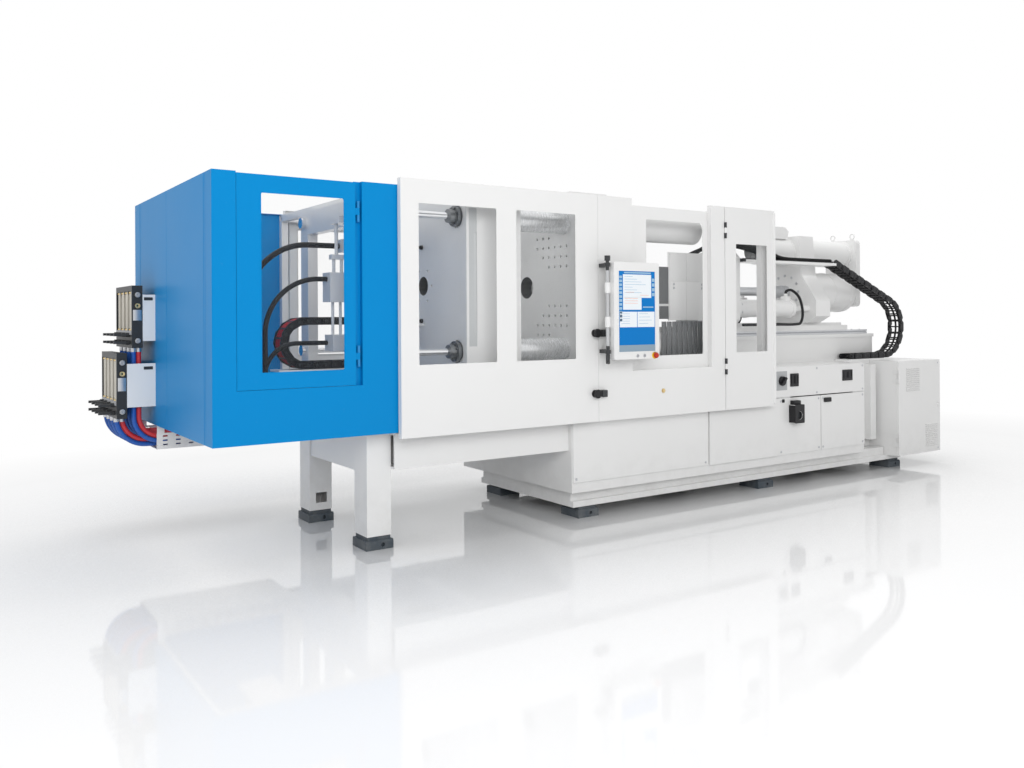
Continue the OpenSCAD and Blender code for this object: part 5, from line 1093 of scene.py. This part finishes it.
class MOULDING_OT_inner_sheets(bpy.types.Operator):
    """Splash sheet beside the barrel on struts from the barrel's cover, and the bed's ribbed skirt"""

    bl_idname = "moulding.inner_sheets"
    bl_label = "Inner sheets"

    def execute(self, context):
        x0, x1, z0, z1 = 3648, 4064, 1368, 1906
        strut_xs, strut_z = (3700, 4010), 1640
        sheet = Shape()
        for low_z, high_z in ((1372, 1676), (1679, 1902)):
            for low_x, high_x in ((3652, 3836), (3839, 4060)):
                sheet.box((low_x, 357, low_z), (high_x, 361, high_z), 1)
        sheet.box((x0, 361, z0), (x1, 364, z1), 1)
        # The flanges are shallow, so that the piston rods pass behind them
        for z in (z0, z1 - 4):
            sheet.box((x0, 363, z), (x1, 376, z + 4), 1)
        for x in (x0, x1 - 4):
            sheet.box((x, 363, z0), (x + 4, 376, z1), 1)
        sheet.make("barrel_side_sheet", "carriage", "grey_paint", "sheet")
        struts = Shape()
        cover = node_box("barrel_cover")[0].y + 3
        for x in strut_xs:
            struts.ring((362, cover), (0, 12), "y", (x, 0, strut_z), 16)
        struts.make("side_sheet_struts", "carriage", "grey_paint", "sheet")
        wing = Shape().box((3404, 366, 1380), (3649, 370, 1790), 1)
        wing.make("barrel_side_wing", "carriage", "grey_paint", "barrel")
        spots = [((x, 357, strut_z + dz), (0, -1, 0)) for x in strut_xs for dz in (-15, 15)]
        fixings("side_sheet_screws", "carriage", spots, 7, 5)
        skirt = Shape()
        for i in range(17):
            x, y = 3350 + 27 * i, 128 + 7 * (i % 2)
            skirt.box((x, y, 980), (x + 27.4, y + 4, 1362), 0.8)
        skirt.box((3350, 128, 980), (3809, 150, 984), 1)
        skirt.make("bed_skirt", "frame", "dark_paint", "barrel")
        return {"FINISHED"}


class MOULDING_OT_guard_seams(bpy.types.Operator):
    """Joint strips on the clamp guard's end and slots in the manifold brackets"""

    bl_idname = "moulding.guard_seams"
    bl_label = "Guard seams"

    def execute(self, context):
        strips = Shape()
        for y0, y1 in ((150, 157), (1728, 1735)):
            strips.box((-1.4, y0, 722), (0.5, y1, 2190), 0.5)
        strips.make("guard_joint_strips", "frame", "blue_paint", "blue")
        slots = Shape()
        for x0, x1, z in ((-69, -15, 1533), (-72, -16, 1088)):
            slots.slab((x0, z - 10), (x1, z + 10), 4, 1288.6, 1290.4, steps=4)
        slots.make("bracket_slots", "frame", "dark_plastic", "dark_plastic")
        return {"FINISHED"}


class MOULDING_OT_stage(bpy.types.Operator):
    """Floor, lamps and camera"""

    bl_idname = "moulding.stage"
    bl_label = "Stage"

    def execute(self, context):
        reach = sizes().floor_reach
        mesh = bpy.data.meshes.new("floor")
        corners = [(-reach, -reach, 0), (reach, -reach, 0), (reach, reach, 0), (-reach, reach, 0)]
        mesh.from_pydata(corners, [], [(0, 1, 2, 3)])
        f = Finish("pale_floor")
        far = distance(f.x / 5.6, f.y / 3.6).between(0.8, 1.5)
        camera_ray, glossy_ray = (f.node("ShaderNodeLightPath", out=f"Is {kind} Ray")
                                  for kind in ("Camera", "Glossy"))
        # The floor's colour darkens where ambient occlusion finds the machine near: a painted shadow under and
        # beside the machine
        open_sky = f.node("ShaderNodeAmbientOcclusion", {"samples": 8}, {"Distance": 2.2}, out="AO")
        tone = f.mix(open_sky.between(0.3, 0.97), (0.6, 0.605, 0.61, 1), (0.92, 0.92, 0.925, 1))
        base = f.node("ShaderNodeBsdfPrincipled", None,
                      {"Base Color": tone, "Roughness": 0.05, "Specular IOR Level": 0.7})
        glow = f.node("ShaderNodeEmission", None, {"Color": WHITE, "Strength": 1.0})
        share = camera_ray.higher(glossy_ray) * far.higher(open_sky.between(0.75, 1.0) * 0.4)
        f.end(f.node("ShaderNodeMixShader", None, {0: share, 1: base, 2: glow}))
        mesh.materials.append(f.material)
        floor = bpy.data.objects.new("floor", mesh)
        context.scene.collection.objects.link(floor)

        world = bpy.data.worlds.new("studio")
        context.scene.world = world
        world.use_nodes = True
        sky = Nodes(world.node_tree)
        camera_ray, glossy_ray, through_ray = (sky.node("ShaderNodeLightPath", out=f"Is {kind} Ray")
                                               for kind in ("Camera", "Glossy", "Transmission"))
        soft, bright = (sky.node("ShaderNodeBackground", None, {"Color": WHITE, "Strength": strength})
                        for strength in (0.55, 1.0))
        seen = camera_ray.higher(glossy_ray).higher(through_ray)
        sky.end(sky.node("ShaderNodeMixShader", None, {0: seen, 1: soft, 2: bright}), "ShaderNodeOutputWorld")

        def lamp(name, where, aim, size, power):
            data = bpy.data.lights.new(name, "AREA")
            data.shape = "RECTANGLE"
            data.size, data.size_y = size
            data.energy = power
            made = bpy.data.objects.new(name, data)
            made.location = where
            made.rotation_euler = (Vector(aim) - Vector(where)).to_track_quat("-Z", "Y").to_euler()
            made.visible_glossy = False
            context.scene.collection.objects.link(made)

        lamp("overhead", (0.5, 0.6, 6.5), (0.3, 0.0, 0.5), (9, 5), 225)
        lamp("front", (-4.2, -8.2, 3.8), (0.2, 0.0, 1.0), (7, 3.5), 350)
        lamp("clamp_end", (-8.0, -1.5, 3.0), (-2.0, 0.0, 1.2), (4, 4), 38)

        # The camera of the photo, fitted to its vanishing points: a level view, then a little roll and pitch
        right = Vector((0.8290, -0.5593, 0.0))
        up = Vector((0, 0, 1))
        ahead = Vector((0.5593, 0.8290, 0.0))
        roll, pitch = math.radians(-0.34), math.radians(-0.17)
        right = right * math.cos(roll) + up * math.sin(roll)
        ahead = ahead * math.cos(pitch) - up * math.sin(pitch)
        up = right.cross(ahead)
        data = bpy.data.cameras.new("main_view")
        data.sensor_width = 36
        data.lens = sizes().camera_lens
        data.shift_y = -0.0677
        data.clip_end = 300
        camera = bpy.data.objects.new("main_view", data)
        where = place((-1350, -4836, 1400))
        camera.matrix_world = Matrix((
            (right.x, up.x, -ahead.x, where.x), (right.y, up.y, -ahead.y, where.y),
            (right.z, up.z, -ahead.z, where.z), (0, 0, 0, 1)))
        context.scene.collection.objects.link(camera)
        context.scene.camera = camera
        context.scene.view_settings.view_transform = "Standard"
        return {"FINISHED"}


class MOULDING_PT_sidebar(bpy.types.Panel):
    """Lists the machine's settings and pieces"""

    bl_label = "Moulding machine"
    bl_idname = "MOULDING_PT_sidebar"
    bl_space_type = "VIEW_3D"
    bl_region_type = "UI"
    bl_category = "Moulding machine"

    def draw(self, context):
        layout = self.layout
        for group in (context.scene.moulding_colours, context.scene.moulding_sizes):
            for key in group.bl_rna.properties.keys():
                if key not in ("rna_type", "name"):
                    layout.prop(group, key)
        for operator in OPERATORS:
            layout.operator(operator.bl_idname)


OPERATORS = [
    MOULDING_OT_finishes, MOULDING_OT_window_frames, MOULDING_OT_operator_panel, MOULDING_OT_fixings,
    MOULDING_OT_energy_chains, MOULDING_OT_cables, MOULDING_OT_screw_motor_trim, MOULDING_OT_manifold_trim,
    MOULDING_OT_base_fittings, MOULDING_OT_covers, MOULDING_OT_inner_sheets, MOULDING_OT_guard_seams,
    MOULDING_OT_stage,
]
CLASSES = [MachineColours, MachineSizes] + OPERATORS + [MOULDING_PT_sidebar]


def register():
    for c in CLASSES:
        bpy.utils.register_class(c)
    bpy.types.Scene.moulding_colours = PointerProperty(type=MachineColours)
    bpy.types.Scene.moulding_sizes = PointerProperty(type=MachineSizes)


def unregister():
    del bpy.types.Scene.moulding_sizes
    del bpy.types.Scene.moulding_colours
    for c in reversed(CLASSES):
        bpy.utils.unregister_class(c)


def main():
    register()
    for operator in OPERATORS:
        group, name = operator.bl_idname.split(".")
        result = getattr(getattr(bpy.ops, group), name)()
        if result != {"FINISHED"}:
            raise RuntimeError(f"{operator.bl_idname} did not finish")


if __name__ == "__main__":
    main()
